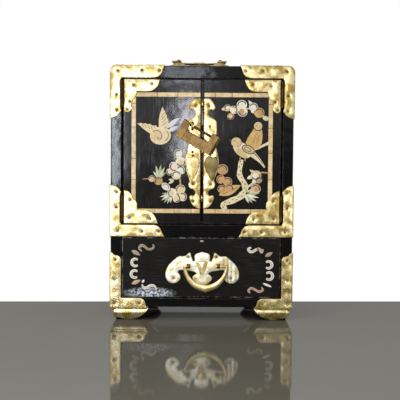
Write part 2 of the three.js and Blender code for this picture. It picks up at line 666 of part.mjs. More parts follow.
function lockCase() {
  const left = LOCK_LEFT + BOLT_END + 0.3;
  const high = LOCK_BOTTOM + LOCK_HEIGHT;
  const barrelTop = LOCK_BOTTOM + BARREL_HEIGHT;
  const bored = LOCK_RIGHT - 3;
  const body = join(
    lockBlock(left, LOCK_RIGHT, LOCK_BOTTOM, barrelTop),
    lockBlock(LOCK_RIGHT - CASE_END, LOCK_RIGHT, LOCK_BOTTOM, high + CASE_END_RISE),
  );
  const chamber = block(
    left - 1, bored, -LOCK_DEPTH / 2 + BARREL_WALL, LOCK_DEPTH / 2 - BARREL_WALL,
    LOCK_BOTTOM + BARREL_WALL, barrelTop - BARREL_WALL,
  );
  const rodHole = rod("x", SHACKLE_RADIUS + 0.35, LOCK_RIGHT - CASE_END - 1, bored, [0, 0], 10);
  return cut(body, chamber, rodHole);
}

function lockBolt() {
  const high = LOCK_BOTTOM + LOCK_HEIGHT;
  const barrelMiddle = LOCK_BOTTOM + BARREL_HEIGHT / 2;
  const inner = LOCK_LEFT + BOLT_END;
  return join(
    lockBlock(LOCK_LEFT, inner, LOCK_BOTTOM, high),
    rod("x", SHACKLE_RADIUS, inner - 1, LOCK_RIGHT - 4, [0, 0], 10),
    block(inner - 1, LOCK_RIGHT - 9, -1.8, 1.8, barrelMiddle - 2.2, barrelMiddle + 2.2),
  );
}

function padlock() {
  piece(cabinet, "left_staple", staple(), brass(), -STAPLE_X, LOCK_Y, STAPLE_Z);
  const lock = new THREE.Group();
  lock.position.set(-STAPLE_X, LOCK_Y, STAPLE_Z);
  lock.rotation.y = LOCK_TILT * TURN;
  cabinet.add(lock);
  piece(lock, "padlock_case", lockCase(), oldBrass());
  piece(lock, "padlock_bolt", lockBolt(), oldBrass());
}

// An open-topped box with walls of its own thickness
function tray(halfWidth, y0, y1, z0, z1, wall, floor) {
  const outside = block(-halfWidth, halfWidth, y0, y1, z0, z1);
  return cut(outside, block(-halfWidth + wall, halfWidth - wall, y0 + wall, y1 - wall, z0 + floor, z1 + 1));
}

// A post with an eye for a bail: a stem and a drum bored along x. The bail turns about (0, 0).
function eyePost(standoff, radius) {
  const stem = rod("y", radius * 0.75, 0, standoff - GAP, [0, 0], 10);
  const drum = rod("x", radius, -2.1, 2.1, [0, 0], 12);
  return cut(join(stem, drum), rod("x", 1.55, -3, 3, [0, 0], 12));
}

// A crescent bail in X and Z, thick at the bottom, with pins turned in through the eyes at the two posts
function bail(halfWidth, drop, posts, endWidth, middleWidth, thickness) {
  const shape = new THREE.Shape();
  shape.moveTo(-halfWidth, 0);
  shape.absellipse(0, 0, halfWidth, drop, Math.PI, 2 * Math.PI, false);
  shape.lineTo(halfWidth - endWidth, 0);
  shape.absellipse(0, 0, halfWidth - endWidth, drop - middleWidth, 2 * Math.PI, Math.PI, true);
  const slab = new THREE.ExtrudeGeometry(shape, { depth: thickness, bevelEnabled: false, curveSegments: 20 });
  const crescent = slab.rotateX(Math.PI / 2).translate(0, thickness / 2, 0);
  const [leftPost, rightPost] = posts;
  const pastEye = 3.4;
  return join(
    crescent,
    rod("x", 1.2, rightPost - pastEye, halfWidth - 0.4, [0, 0], 10),
    rod("x", 1.2, -halfWidth + 0.4, leftPost + pastEye, [0, 0], 10),
  );
}

// Bat-shaped drawer plate: the right half, from the middle of the crown to the foot of the lower lobe
const BAT_HALF = [
  [0, 82.6], [4, 81.6], [8, 80], [9.6, 76], [8.8, 72], [10.8, 71.4], [12.6, 75.5], [14.2, 81.6], [16.2, 81.4],
  [19, 78.8], [23, 77.4], [28, 77.4], [33.3, 73.4], [39.4, 67.6], [43, 61.5], [44.2, 55], [42.8, 49.4],
  [39.4, 45.8], [34.4, 44.6], [29.6, 46.2], [26.4, 50], [26.4, 54.4], [29, 57.6], [28, 60.4], [22.4, 60.8],
  [17, 59.8], [12.4, 59.2], [8.6, 58], [7, 56.2], [9.4, 54.8], [11.6, 52], [10.8, 48.4], [7.8, 45.2], [3.8, 43.2],
  [0, 42.6],
];
const BAT_TONGUE = [[-5.6, 70.4], [0, 72], [5.6, 70.4], [2.2, 59], [0, 54.4], [-2.2, 59]];
const BAT_NAILS = [[-16.6, 76.6], [16.6, 76.6], [-34.4, 51], [34.4, 51]];

function batPlate() {
  const left = BAT_HALF.slice(1, -1).reverse().map(([x, z]) => [-x, z]);
  const sheet = slabXZ(outline([...BAT_HALF, ...left]), -PROUD, -GAP);
  const tongue = slabXZ(outline(BAT_TONGUE), -PROUD - 0.9, -GAP - 0.3);
  const heads = BAT_NAILS.map(([x, z]) => nail(x, -PROUD, z));
  return join(sheet, tongue, ...heads);
}

function wideDrawer() {
  const drawer = new THREE.Group();
  drawer.position.y = FRONT;
  cabinet.add(drawer);
  const frontHalf = INNER_HALF - RUNNING_GAP;
  const low = FLOOR_BOARD_TOP + RUNNING_GAP;
  const high = RAIL_BOTTOM - RUNNING_GAP;
  const board = block(-frontHalf, frontHalf, 0, FRONT_BOARD, low, high);
  const trayFront = FRONT_BOARD + GAP;
  const box = tray(frontHalf - 2, trayFront, trayFront + TRAY_DEPTH, low + 0.4, high - 4, 5, 4);
  const pivotY = -PROUD - PULL_STANDOFF;
  piece(drawer, "drawer_front", board, lacquer());
  piece(drawer, "drawer_tray", box, lining());
  const [leftPost, rightPost] = PULL_POSTS;
  piece(drawer, "drawer_pull_plate", batPlate(), brass(), PULL_PLATE_X);
  piece(drawer, "drawer_left_post", eyePost(PULL_STANDOFF, 2.8), brass(), leftPost, pivotY, PULL_Z);
  piece(drawer, "drawer_right_post", eyePost(PULL_STANDOFF, 2.8), brass(), rightPost, pivotY, PULL_Z);
  const pinPlaces = PULL_POSTS.map((x) => x - PULL_X);
  const crescent = bail(PULL_HALF_WIDTH, PULL_DROP, pinPlaces, 3.4, 8.2, 3);
  const point = slabXZ(outline([[-4.6, 1], [0, -1.5], [4.6, 1], [0, 4]]), -1.5, 1.5).translate(0, 0, -PULL_DROP);
  piece(drawer, "drawer_pull_bail", join(crescent, point), brass(), PULL_X, pivotY, PULL_Z);
}

// The case behind the doors. Its thick cheeks leave room for the opened doors beside the drawers.
function innerDrawers() {
  const caseHalf = INNER_HALF - 2 * GAP;
  const low = RAIL_TOP + 2 * GAP;
  const high = TOP_BOARD_BOTTOM - 2 * GAP;
  const caseFront = FRONT + CASE_SETBACK;
  const caseBack = -FRONT - BACK_BOARD - 2 * GAP;
  const bay = (high - low - (INNER_DRAWERS.length + 1) * CASE_SHELF) / INNER_DRAWERS.length;
  const bayHalf = caseHalf - CASE_WALL;
  const floors = INNER_DRAWERS.map((_, i) => high - (i + 1) * (bay + CASE_SHELF));
  const hollows = floors.map((z) => block(-bayHalf, bayHalf, caseFront - 1, caseBack - 4, z, z + bay));
  const shellBlock = block(-caseHalf, caseHalf, caseFront, caseBack, low, high);
  piece(cabinet, "inner_drawer_case", cut(shellBlock, ...hollows), lining());
  INNER_DRAWERS.forEach((level, i) => {
    const front = FRONT + INNER_SETBACK;
    const z0 = floors[i] + 0.4;
    const z1 = floors[i] + bay - 0.5;
    const box = tray(bayHalf - 0.4, 0, INNER_DEPTH, 0, z1 - z0, 5, 3);
    piece(cabinet, `${level}_inner_drawer`, box, lacquer(), 0, front, z0);
    piece(cabinet, `${level}_inner_knob`, knob(), brass(), 0, front - GAP, (z0 + z1) / 2);
  });
}

function knob() {
  const profile = [
    [0, 0], [3.4, 0], [3.4, 0.8], [1.7, 1.6], [1.7, 3], [4, 4.4], [4.2, 5.4], [2.6, KNOB_LENGTH], [0, KNOB_LENGTH],
  ];
  const turned = new THREE.LatheGeometry(profile.map(([r, h]) => new THREE.Vector2(r, h)), 16);
  return turned.rotateX(Math.PI);
}

// Carrying handle: a base plate with a domed rosette and an eye at each end, and a bail that lies back
// with its grip just above the top board
function topHandle() {
  const half = [[0, -6], [8, -5], [14, -4], [18, -6], [26, -8.5], [34, -6.5], [37, 0]];
  const upper = half.slice(0, -1).reverse().map(([x, y]) => [x, -y]);
  const right = [...half, ...upper];
  const left = right.slice(1, -1).reverse().map(([x, y]) => [-x, y]);
  const base = slabXY(outline([...right, ...left]), GAP, PROUD);
  const ends = [-HANDLE_POSTS, HANDLE_POSTS].map((x) => {
    const eye = eyePost(HANDLE_HEIGHT - 0.5, 2.5).rotateX(-Math.PI / 2).translate(0, 0, HANDLE_HEIGHT);
    const rosette = new THREE.CylinderGeometry(ROSETTE_RADIUS * 0.4, ROSETTE_RADIUS, ROSETTE_HEIGHT, 20);
    rosette.rotateX(Math.PI / 2).translate(0, 0, GAP + ROSETTE_HEIGHT / 2);
    return join(rosette, eye).translate(x, 0, 0);
  });
  piece(cabinet, "top_handle_plate", join(base, ...ends), brass(), HANDLE_X, 0, TOP);
  const crescent = bail(HANDLE_HALF_WIDTH, HANDLE_REACH, [-HANDLE_POSTS, HANDLE_POSTS], 3.4, 6.4, 3);
  const grip = rod("x", 2.4, -7, 7, [0, -HANDLE_REACH + 3.2], 12);
  const handle = join(crescent, grip).rotateX(Math.PI / 2 - HANDLE_REST * TURN);
  piece(cabinet, "top_handle_bail", handle, brass(), HANDLE_X, 0, TOP + HANDLE_HEIGHT);
}

carcass();
carcassMounts();
doorPair();
padlock();
wideDrawer();
innerDrawers();
topHandle();

export default object;
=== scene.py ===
# A small black lacquer jewelry cabinet with brass mounts. Two inlaid doors, held by a padlock, cover
# three small drawers, and a wide drawer with a bat-shaped pull is below them.
# Shapes are given in millimetres: x from the middle, y from the front face of the wood, z from the floor.
import math
import random

import bmesh
import bpy
from mathutils import Matrix, Quaternion, Vector, kdtree, noise


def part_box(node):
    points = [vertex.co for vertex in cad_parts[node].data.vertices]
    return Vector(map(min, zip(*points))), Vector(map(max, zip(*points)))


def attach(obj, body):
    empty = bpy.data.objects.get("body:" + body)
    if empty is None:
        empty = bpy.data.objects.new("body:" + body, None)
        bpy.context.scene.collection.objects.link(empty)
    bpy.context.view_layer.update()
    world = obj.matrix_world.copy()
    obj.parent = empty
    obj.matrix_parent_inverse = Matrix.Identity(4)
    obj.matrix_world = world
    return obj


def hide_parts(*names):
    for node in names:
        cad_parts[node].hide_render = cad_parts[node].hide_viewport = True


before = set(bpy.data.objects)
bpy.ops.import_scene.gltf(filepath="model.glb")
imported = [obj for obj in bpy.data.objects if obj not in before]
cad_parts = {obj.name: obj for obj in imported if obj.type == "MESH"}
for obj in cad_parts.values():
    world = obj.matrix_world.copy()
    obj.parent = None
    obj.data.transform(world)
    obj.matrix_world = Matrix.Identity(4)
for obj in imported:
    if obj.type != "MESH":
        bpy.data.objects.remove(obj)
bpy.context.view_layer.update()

# Camera. It stands more than a metre and a half in front of the cabinet, almost level with its top,
# and looks slightly down, as the photograph does. It leans a hair to one side.
MM = 0.001
front_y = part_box("left_side_board")[0].y
camera_x = -2 * MM
camera_height = 290 * MM
camera_distance = 1700 * MM
aim_height = 144.9 * MM
camera_roll = 0.0072

camera_data = bpy.data.cameras.new("camera")
camera_data.sensor_width = 36
camera_data.lens = 128.9
camera = bpy.data.objects.new("camera", camera_data)
bpy.context.scene.collection.objects.link(camera)
bpy.context.scene.camera = camera
eye = Vector((camera_x, front_y - camera_distance, camera_height))
aim = Vector((camera_x, front_y, aim_height))
camera.location = eye
level_view = (aim - eye).to_track_quat("-Z", "Y")
camera.rotation_euler = (level_view @ Quaternion((0, 0, 1), camera_roll)).to_euler()
bpy.context.scene.view_settings.view_transform = "Standard"


# Table. A grey tabletop with a dull polish, which ends a hand's breadth behind the cabinet and holds
# a dim mirror image of it. A material's nodes are put in by one short call each.
def put(tree, kind, inputs=(), **settings):
    node = tree.nodes.new(kind)
    for name, value in settings.items():
        setattr(node, name, value)
    for socket, value in dict(inputs).items():
        if isinstance(value, bpy.types.NodeSocket):
            tree.links.new(value, node.inputs[socket])
        else:
            node.inputs[socket].default_value = value
    return node


def seen(red, green, blue):
    """The linear colour of one that is read from a screen as three numbers up to 255."""
    parts = [c / 255 for c in (red, green, blue)]
    return (*[c / 12.92 if c < 0.04 else ((c + 0.055) / 1.055) ** 2.4 for c in parts], 1)


def new_material(name):
    """An empty material, its node tree, and the socket with the place on the object."""
    material = bpy.data.materials.new(name)
    material.use_nodes = True
    tree = material.node_tree
    tree.nodes.clear()
    return material, tree, put(tree, "ShaderNodeTexCoord").outputs["Object"]


def mixed(tree, factor, first, second, **settings):
    inputs = {"Factor": factor, "A": first, "B": second}
    return put(tree, "ShaderNodeMix", inputs, data_type="RGBA", **settings).outputs["Result"]


def cloud(tree, place, scale, detail, roughness=0.5):
    return put(tree, "ShaderNodeTexNoise", {
        "Vector": place, "Scale": scale, "Detail": detail, "Roughness": roughness}).outputs["Fac"]


def tabletop():
    material, tree, place = new_material("grey tabletop")
    shade = mixed(tree, cloud(tree, place, 9.0, 4.0), seen(94, 91, 80), seen(101, 97, 86))
    ground = put(tree, "ShaderNodeBsdfDiffuse", {"Color": shade})
    polish = put(tree, "ShaderNodeBsdfAnisotropic", {"Color": (1, 1, 1, 1), "Roughness": 0.045})
    both = put(tree, "ShaderNodeMixShader", {"Fac": 0.12})
    tree.links.new(ground.outputs[0], both.inputs[1])
    tree.links.new(polish.outputs[0], both.inputs[2])
    put(tree, "ShaderNodeOutputMaterial", {"Surface": both.outputs[0]})
    return material


TABLE_BEHIND = 146 * MM
TABLE_SIDE = 2.4
TABLE_TURN = Matrix.Rotation(math.radians(2.6), 3, "Z")
table_mesh = bmesh.new()
bmesh.ops.create_grid(table_mesh, x_segments=1, y_segments=1, size=TABLE_SIDE)
bmesh.ops.translate(table_mesh, vec=(0, front_y + TABLE_BEHIND - TABLE_SIDE, 0), verts=table_mesh.verts)
bmesh.ops.rotate(table_mesh, cent=(0, 0, 0), matrix=TABLE_TURN, verts=table_mesh.verts)
table_data = bpy.data.meshes.new("table")
table_mesh.to_mesh(table_data)
table_mesh.free()
table_data.materials.append(tabletop())
table = bpy.data.objects.new("table", table_data)
bpy.context.scene.collection.objects.link(table)

# Studio. White all round for the camera and for reflections, and a softer light for the rest. One large
# lamp stands at the front left, two low ones light the foot mounts, and three narrow ones lay their
# glare on the left stile, beside the lock plate and on the top rail.
AMBIENT = 0.64


def studio_world():
    world = bpy.data.worlds.new("studio")
    bpy.context.scene.world = world
    world.use_nodes = True
    tree = world.node_tree
    tree.nodes.clear()
    ray = put(tree, "ShaderNodeLightPath")
    mirror_or_camera = put(tree, "ShaderNodeMath", {
        0: ray.outputs["Is Camera Ray"], 1: ray.outputs["Is Glossy Ray"],
    }, operation="MAXIMUM")
    clear = put(tree, "ShaderNodeMath", {
        0: mirror_or_camera.outputs[0], 1: ray.outputs["Is Transmission Ray"],
    }, operation="MAXIMUM")
    strength = put(tree, "ShaderNodeMapRange", {"Value": clear.outputs[0], "To Min": AMBIENT, "To Max": 1.0})
    light = put(tree, "ShaderNodeBackground", {"Color": (1, 1, 1, 1), "Strength": strength.outputs[0]})
    put(tree, "ShaderNodeOutputWorld", {"Surface": light.outputs[0]})


def soft_lamp(name, place, target, size, power, colour=(1, 1, 1)):
    lamp_data = bpy.data.lights.new(name, "AREA")
    lamp_data.shape = "RECTANGLE"
    lamp_data.size, lamp_data.size_y = size
    lamp_data.energy = power
    lamp_data.color = colour
    lamp = bpy.data.objects.new(name, lamp_data)
    lamp.location = place
    lamp.rotation_euler = (Vector(target) - Vector(place)).to_track_quat("-Z", "Y").to_euler()
    bpy.context.scene.collection.objects.link(lamp)


studio_world()
soft_lamp("key lamp", (-1.3, -1.7, 1.1), (0, 0, 0.15), (0.9, 0.9), 14)
soft_lamp("low left lamp", (-0.27, -0.9, 0.06), (-0.1, 0, 0.03), (0.12, 0.1), 0.65)
soft_lamp("low right lamp", (0.3, -0.9, 0.05), (0.1, 0, 0.03), (0.12, 0.1), 0.25)
soft_lamp("left glare", (-0.155, -0.85, 0.185), (-0.12, 0, 0.18), (0.014, 0.16), 0.5, (0.86, 0.92, 1.0))
soft_lamp("middle glare", (-0.024, -0.9, 0.198), (-0.02, 0, 0.2), (0.03, 0.11), 0.42, (0.92, 0.92, 1.0))
soft_lamp("top glare", (-0.032, -0.9, 0.3), (-0.02, 0, 0.3), (0.08, 0.024), 0.12, (0.84, 0.9, 1.0))

# Carcass. Boards of softwood under many coats of black lacquer, rubbed down along the grain. Edges are
# softened by the rubbing, and the brown ground coat shows on the most handled corners.
LACQUER_BLACK = (0.004, 0.0038, 0.0042, 1)
LACQUER_RUBBED = (0.018, 0.017, 0.018, 1)
LACQUER_WORN = (0.060, 0.040, 0.028, 1)
SCRATCH_GLARE = (0.84, 0.88, 0.96, 1)


def new_group(name, inputs, outputs):
    """An empty shader group: its inputs with their plain values, and the names of its outputs."""
    group = bpy.data.node_groups.new(name, "ShaderNodeTree")
    for label, value in inputs.items():
        kind = "NodeSocketVector" if value is None else "NodeSocketFloat"
        socket = group.interface.new_socket(label, in_out="INPUT", socket_type=kind)
        if value is not None:
            socket.default_value = value
    for label in outputs:
        group.interface.new_socket(label, in_out="OUTPUT", socket_type="NodeSocketFloat")
    return group, group.nodes.new("NodeGroupInput").outputs, group.nodes.new("NodeGroupOutput").inputs


def product(tree, first, second, **settings):
    return put(tree, "ShaderNodeMath", {0: first, 1: second}, operation="MULTIPLY", **settings).outputs[0]


def marked(tree, mark, socket="Fac"):
    """A mark that the mesh carries."""
    return put(tree, "ShaderNodeAttribute", attribute_name=mark, attribute_type="GEOMETRY").outputs[socket]


def patches_group():
    """Cloudy patches: 0 between them, 1 inside them."""
    group, given, result = new_group(
        "patches", {"Vector": None, "Scale": 30.0, "Detail": 4.0, "From": 0.45, "To": 0.6}, ["Mask"])
    mask = put(group, "ShaderNodeMapRange", {
        "Value": cloud(group, given["Vector"], given["Scale"], given["Detail"], 0.6),
        "From Min": given["From"], "From Max": given["To"],
    }, interpolation_type="SMOOTHSTEP")
    group.links.new(mask.outputs[0], result["Mask"])
    return group


def edge_wear_group():
    """Where a rounded edge is rubbed through, in broken patches. On the drawer front the same edges carry a
    painted highlight.
    """
    group, given, result = new_group("edge wear and highlight", {"Vector": None, "Scale": 90.0, "Amount": 0.5}, ["Mask"])
    limit = put(group, "ShaderNodeMath", {0: 1.0, 1: given["Amount"]}, operation="SUBTRACT")
    over = put(group, "ShaderNodeMapRange", {
        "Value": cloud(group, given["Vector"], given["Scale"], 6.0, 0.7),
        "From Min": limit.outputs[0], "From Max": 1.0,
    }, clamp=True)
    gain = product(group, over.outputs[0], marked(group, "wear"), use_clamp=True)
    group.links.new(product(group, gain, 2.5, use_clamp=True), result["Mask"])
    return group


def relief_group():
    """Heights in metres: a long swell and a fine grain."""
    group, given, result = new_group("relief", {
        "Vector": None, "Swell Scale": 20.0, "Swell": 0.0003, "Grain Scale": 900.0, "Grain": 0.000004,
    }, ["Height"])
    swell = product(group, cloud(group, given["Vector"], given["Swell Scale"], 2.0), given["Swell"])
    grain = product(group, cloud(group, given["Vector"], given["Grain Scale"], 3.0), given["Grain"])
    total = put(group, "ShaderNodeMath", {0: swell, 1: grain}, operation="ADD")
    group.links.new(total.outputs[0], result["Height"])
    return group


PATCHES = patches_group()
EDGE_WEAR_AND_HIGHLIGHT = edge_wear_group()
RELIEF = relief_group()


def use_group(tree, group, inputs):
    return put(tree, "ShaderNodeGroup", inputs, node_tree=group).outputs[0]


def patches(tree, place, scale, detail, low, high):
    return use_group(tree, PATCHES, {
        "Vector": place, "Scale": scale, "Detail": detail, "From": low, "To": high})


def edge_wear_and_highlight(tree, place, scale, amount):
    return use_group(tree, EDGE_WEAR_AND_HIGHLIGHT, {"Vector": place, "Scale": scale, "Amount": amount})


def relief(tree, place, swell_scale, swell, grain_scale, grain):
    """The surface direction over a swell and a grain, both with their depths in metres."""
    height = use_group(tree, RELIEF, {
        "Vector": place, "Swell Scale": swell_scale, "Swell": swell,
        "Grain Scale": grain_scale, "Grain": grain})
    return put(tree, "ShaderNodeBump", {"Height": height, "Distance": 1.0}).outputs[0]


def ranged(tree, value, low, high):
    return put(tree, "ShaderNodeMapRange", {"Value": value, "To Min": low, "To Max": high}).outputs[0]


def skinned(material, tree, inputs):
    skin = put(tree, "ShaderNodeBsdfPrincipled", inputs)
    put(tree, "ShaderNodeOutputMaterial", {"Surface": skin.outputs[0]})
    return material


def glare_scratches(tree, place, colour, centre, reach):
    """Broken scratches in an oval patch, painted pale with the glare that they catch. Both are in millimetres
    from the middle of the front.
    """
    middle = Vector((centre[0], 0, centre[1])) * MM
    stretch = Vector((1 / reach[0], 0, 1 / reach[1])) / MM
    local = put(tree, "ShaderNodeVectorMath", {0: place, 1: middle}, operation="SUBTRACT").outputs[0]
    scaled = put(tree, "ShaderNodeVectorMath", {0: local, 1: stretch}, operation="MULTIPLY").outputs[0]
    away = put(tree, "ShaderNodeVectorMath", {0: scaled}, operation="LENGTH").outputs["Value"]
    inside = put(tree, "ShaderNodeMapRange", {"Value": away, "From Min": 1.0, "From Max": 0.4}).outputs[0]
    return mixed(tree, product(tree, inside, patches(tree, place, 380.0, 6.0, 0.4, 0.6)), colour, SCRATCH_GLARE)


def lacquer(name, grain_stretch, colours, rubbed, swell, roughness, gloss=0.3, scratch_glare=None):
    """Lacquer whose brush and rubbing marks run along the axis with the small number."""
    ground, dull, wear_and_highlight = colours
    material, tree, place = new_material(name)
    along = put(tree, "ShaderNodeMapping", {"Vector": place, "Scale": grain_stretch}).outputs[0]
    marks = patches(tree, along, 650.0, 5.0, 0.42, 0.72)
    clouds = patches(tree, place, 28.0, 5.0, 0.35, 0.7)
    haze = product(tree, product(tree, marks, clouds), rubbed)
    # The edge colour is real wear, except on the drawer front, where it is a painted highlight.
    colour = mixed(tree, edge_wear_and_highlight(tree, place, 120.0, 0.52), mixed(tree, haze, ground, dull), wear_and_highlight)
    # Where given, scratches are painted pale with their glare.
    if scratch_glare:
        colour = glare_scratches(tree, place, colour, *scratch_glare)
    return skinned(material, tree, {
        "Base Color": colour, "Roughness": ranged(tree, haze, roughness, roughness + 0.12),
        "Normal": relief(tree, place, 40.0, swell, 420.0, 0.000012), "Specular IOR Level": gloss})


def black_lacquer(name, grain_stretch):
    colours = (LACQUER_BLACK, LACQUER_RUBBED, LACQUER_WORN)
    return lacquer(name, grain_stretch, colours, 0.5, 0.0003, 0.09, 0.16)


LACQUER_UPRIGHT = black_lacquer("black lacquer, upright grain", (1, 1, 0.07))
LACQUER_LEVEL = black_lacquer("black lacquer, level grain", (0.07, 1, 1))


def new_mesh():
    """A mesh with the marks that the materials read: edges for wear and painted highlight, stains and painted
    shade, inlay colours.
    """
    mesh = bmesh.new()
    mesh.loops.layers.float.new("wear")
    mesh.verts.layers.float.new("stain_and_shade_mark")
    mesh.loops.layers.float_color.new("tint")
    return mesh


def darkened_by_stain_and_shade(mesh, verts, share=0.75):
    stain_and_shade_mark = mesh.verts.layers.float["stain_and_shade_mark"]
    for v in verts:
        v[stain_and_shade_mark] = share


def mark_worn(mesh, faces):
    wear_and_highlight = mesh.loops.layers.float["wear"]
    for face in faces:
        for loop in face.loops:
            loop[wear_and_highlight] = 1.0


def rounded(mesh, edges, radius, segments=3):
    made = bmesh.ops.bevel(
        mesh, geom=edges, offset=radius, affect="EDGES", segments=segments, profile=0.5, material=-1,
        clamp_overlap=True)
    mark_worn(mesh, made["faces"])


def bar(mesh, low, high, radius=0.0, segments=3):
    """A board or bar between two corners, with rounded edges. Returns its vertices."""
    low, high = Vector(low), Vector(high)
    made = bmesh.ops.create_cube(mesh, size=1)["verts"]
    bmesh.ops.scale(mesh, vec=high - low, verts=made)
    bmesh.ops.translate(mesh, vec=(low + high) / 2, verts=made)
    if radius:
        before = set(mesh.verts) - set(made)
        rounded(mesh, list({e for v in made for e in v.link_edges}), radius, segments)
        made = [v for v in mesh.verts if v not in before]
    return made


BROAD_FACE = 0.00006


def dress(mesh, name, material, body, replaced=(), crease=38):
    """Makes the finished piece from its mesh in millimetres, on the body that carries it."""
    to_metres = Matrix.Translation((0, front_y, 0)) @ Matrix.Scale(MM, 4)
    bmesh.ops.transform(mesh, matrix=to_metres, verts=mesh.verts)
    bmesh.ops.recalc_face_normals(mesh, faces=mesh.faces)
    wear_and_highlight = mesh.loops.layers.float["wear"]
    curved = [face.calc_area() < BROAD_FACE or face.loops[0][wear_and_highlight] > 0 for face in mesh.faces]
    data = bpy.data.meshes.new(name)
    mesh.to_mesh(data)
    mesh.free()
    data.set_sharp_from_angle(angle=math.radians(crease))
    data.polygons.foreach_set("use_smooth", curved)
    data.materials.append(material)
    piece = bpy.data.objects.new(name, data)
    bpy.context.scene.collection.objects.link(piece)
    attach(piece, body)
    if replaced:
        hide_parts(*replaced)
    return piece


def corners(node):
    """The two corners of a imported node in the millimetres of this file."""
    return [(v - Vector((0, front_y, 0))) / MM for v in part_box(node)]


EDGE_RADIUS = 1.1
TOP_CORNER_RADIUS = 7


def board(node, material, body="root", radius=EDGE_RADIUS, segments=3):
    mesh = new_mesh()
    bar(mesh, *corners(node), radius, segments)
    dress(mesh, node + "_lacquered", material, body, [node])


def top_board():
    """The top board's two ends are rounded over, and the brass corners follow them."""
    mesh = new_mesh()
    low, high = corners("top_board")
    bar(mesh, low, high)
    ends = [e for e in mesh.edges if all(v.co.z > high.z - 1 for v in e.verts)
            and abs(e.verts[0].co.x - e.verts[1].co.x) < 1]
    bmesh.ops.bevel(
        mesh, geom=ends, offset=TOP_CORNER_RADIUS, affect="EDGES", segments=8, profile=0.5, material=-1)
    sharp = [e for e in mesh.edges if e.calc_face_angle(0) > math.radians(60)]
    rounded(mesh, sharp, 0.9)
    dress(mesh, "top_board_lacquered", LACQUER_LEVEL, "root", ["top_board"])


top_board()
for node in ["bottom_board", "middle_board"]:
    board(node, LACQUER_LEVEL)
for node in ["left_side_board", "right_side_board"]:
    board(node, LACQUER_UPRIGHT)
board("back_board", LACQUER_UPRIGHT, radius=0.5)

# Bracket feet. Four sawn and carved blocks under the same lacquer, glued under the corners. Each has a
# long arm along the front or back and a shorter one along the side.
SIDES = [("left", 1), ("right", -1)]
ENDS = ["front", "rear"]


def coated(node, material):
    """Shows the solid itself, in the material."""
    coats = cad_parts[node].data.materials
    coats.clear()
    coats.append(material)


for side, sign in SIDES:
    for end in ENDS:
        coated(f"{side}_{end}_foot", LACQUER_LEVEL)

# Brass sheet mounts of the carcass. Thin sheet, cut to shape with shears and hammered over the corners
# of the wood, held by small domed nails. Bright where rubbed, with stain round nails and a painted shadow
# line along the rims.
BRASS = seen(232, 216, 170)
BRASS_WARM = seen(184, 156, 90)
BRASS_STAIN_AND_SHADE = seen(92, 68, 26)
BRASS_SHADED_SIDE = seen(234, 216, 160)
BRASS_SHADED_SIDE_WARM = seen(166, 142, 78)
SHEET_FRONT = -1.0
SHEET_THICKNESS = 0.9
SHEET_EDGE = 0.35
GRID = 1.1
NAIL_RADIUS = 1.15
WRAP = 14
CARCASS_HALF = 108.5
CARCASS_TOP = 304
FOOT_TOP = 16
CARCASS_DEPTH = 158


def sheet_brass(name, bright, warm, stained_and_shaded, roughness=0.25, hammer=0.00014):
    """Brass in two tones, dark where the mesh is marked with stain and painted shade, and bright on rubbed
    edges.
    """
    material, tree, place = new_material(name)
    specks = patches(tree, place, 420.0, 4.0, 0.52, 0.75)
    broken = ranged(tree, cloud(tree, place, 260.0, 3.0), 0.35, 1.35)
    stain_and_shade_mark = product(tree, marked(tree, "stain_and_shade_mark"), broken)
    dirt_and_shade = put(tree, "ShaderNodeMath", {
        0: specks, 1: 0.35, 2: stain_and_shade_mark}, operation="MULTIPLY_ADD", use_clamp=True).outputs[0]
    tones = mixed(tree, patches(tree, place, 95.0, 6.0, 0.42, 0.62), bright, warm)
    rubbed = mixed(tree, edge_wear_and_highlight(tree, place, 150.0, 0.25), mixed(tree, dirt_and_shade, tones, stained_and_shaded), bright)
    return skinned(material, tree, {
        "Base Color": rubbed, "Metallic": 1.0, "Roughness": ranged(tree, dirt_and_shade, roughness, roughness + 0.3),
        "Normal": relief(tree, place, 70.0, hammer, 700.0, 0.000006)})


# The right-hand copy is darker: painted shade, as the light falls from the left.
SHEET_BRASS_LIT_AND_SHADED = {
    "left": sheet_brass("sheet brass", BRASS, BRASS_WARM, BRASS_STAIN_AND_SHADE),
    "right": sheet_brass("sheet brass with painted shade", BRASS_SHADED_SIDE, BRASS_SHADED_SIDE_WARM, BRASS_STAIN_AND_SHADE),
}


def smooth(start, leave, end, arrive, t):
    """The point at a share t of a curve between two points, with the directions at its ends."""
    return (start * (2 * t**3 - 3 * t**2 + 1) + leave * (t**3 - 2 * t**2 + t)
            + end * (3 * t**2 - 2 * t**3) + arrive * (t**3 - t**2))


SHARP_TURN = math.radians(55)
LONG_RUN = 13
LINE_PITCH = 1.2


def bent_line(points):
    """A closed line through the points: smooth, apart from sharp turns and long straight runs."""
    flat = [Vector(p) for p in points]
    count = len(flat)
    corner = []
    for i, point in enumerate(flat):
        before, after = point - flat[i - 1], flat[(i + 1) % count] - point
        straight = max(before.length, after.length) > LONG_RUN
        corner.append(straight or abs(before.angle_signed(after, 0)) > SHARP_TURN)
    line = []
    for i, start in enumerate(flat):
        end = flat[(i + 1) % count]
        span = end - start
        leave = span if corner[i] else (end - flat[i - 1]).normalized() * span.length
        turned_on = (flat[(i + 2) % count] - start).normalized() * span.length
        arrive = span if corner[(i + 1) % count] else turned_on
        steps = max(1, round(span.length / LINE_PITCH))
        line += [smooth(start, leave, end, arrive, k / steps) for k in range(steps)]
    return line


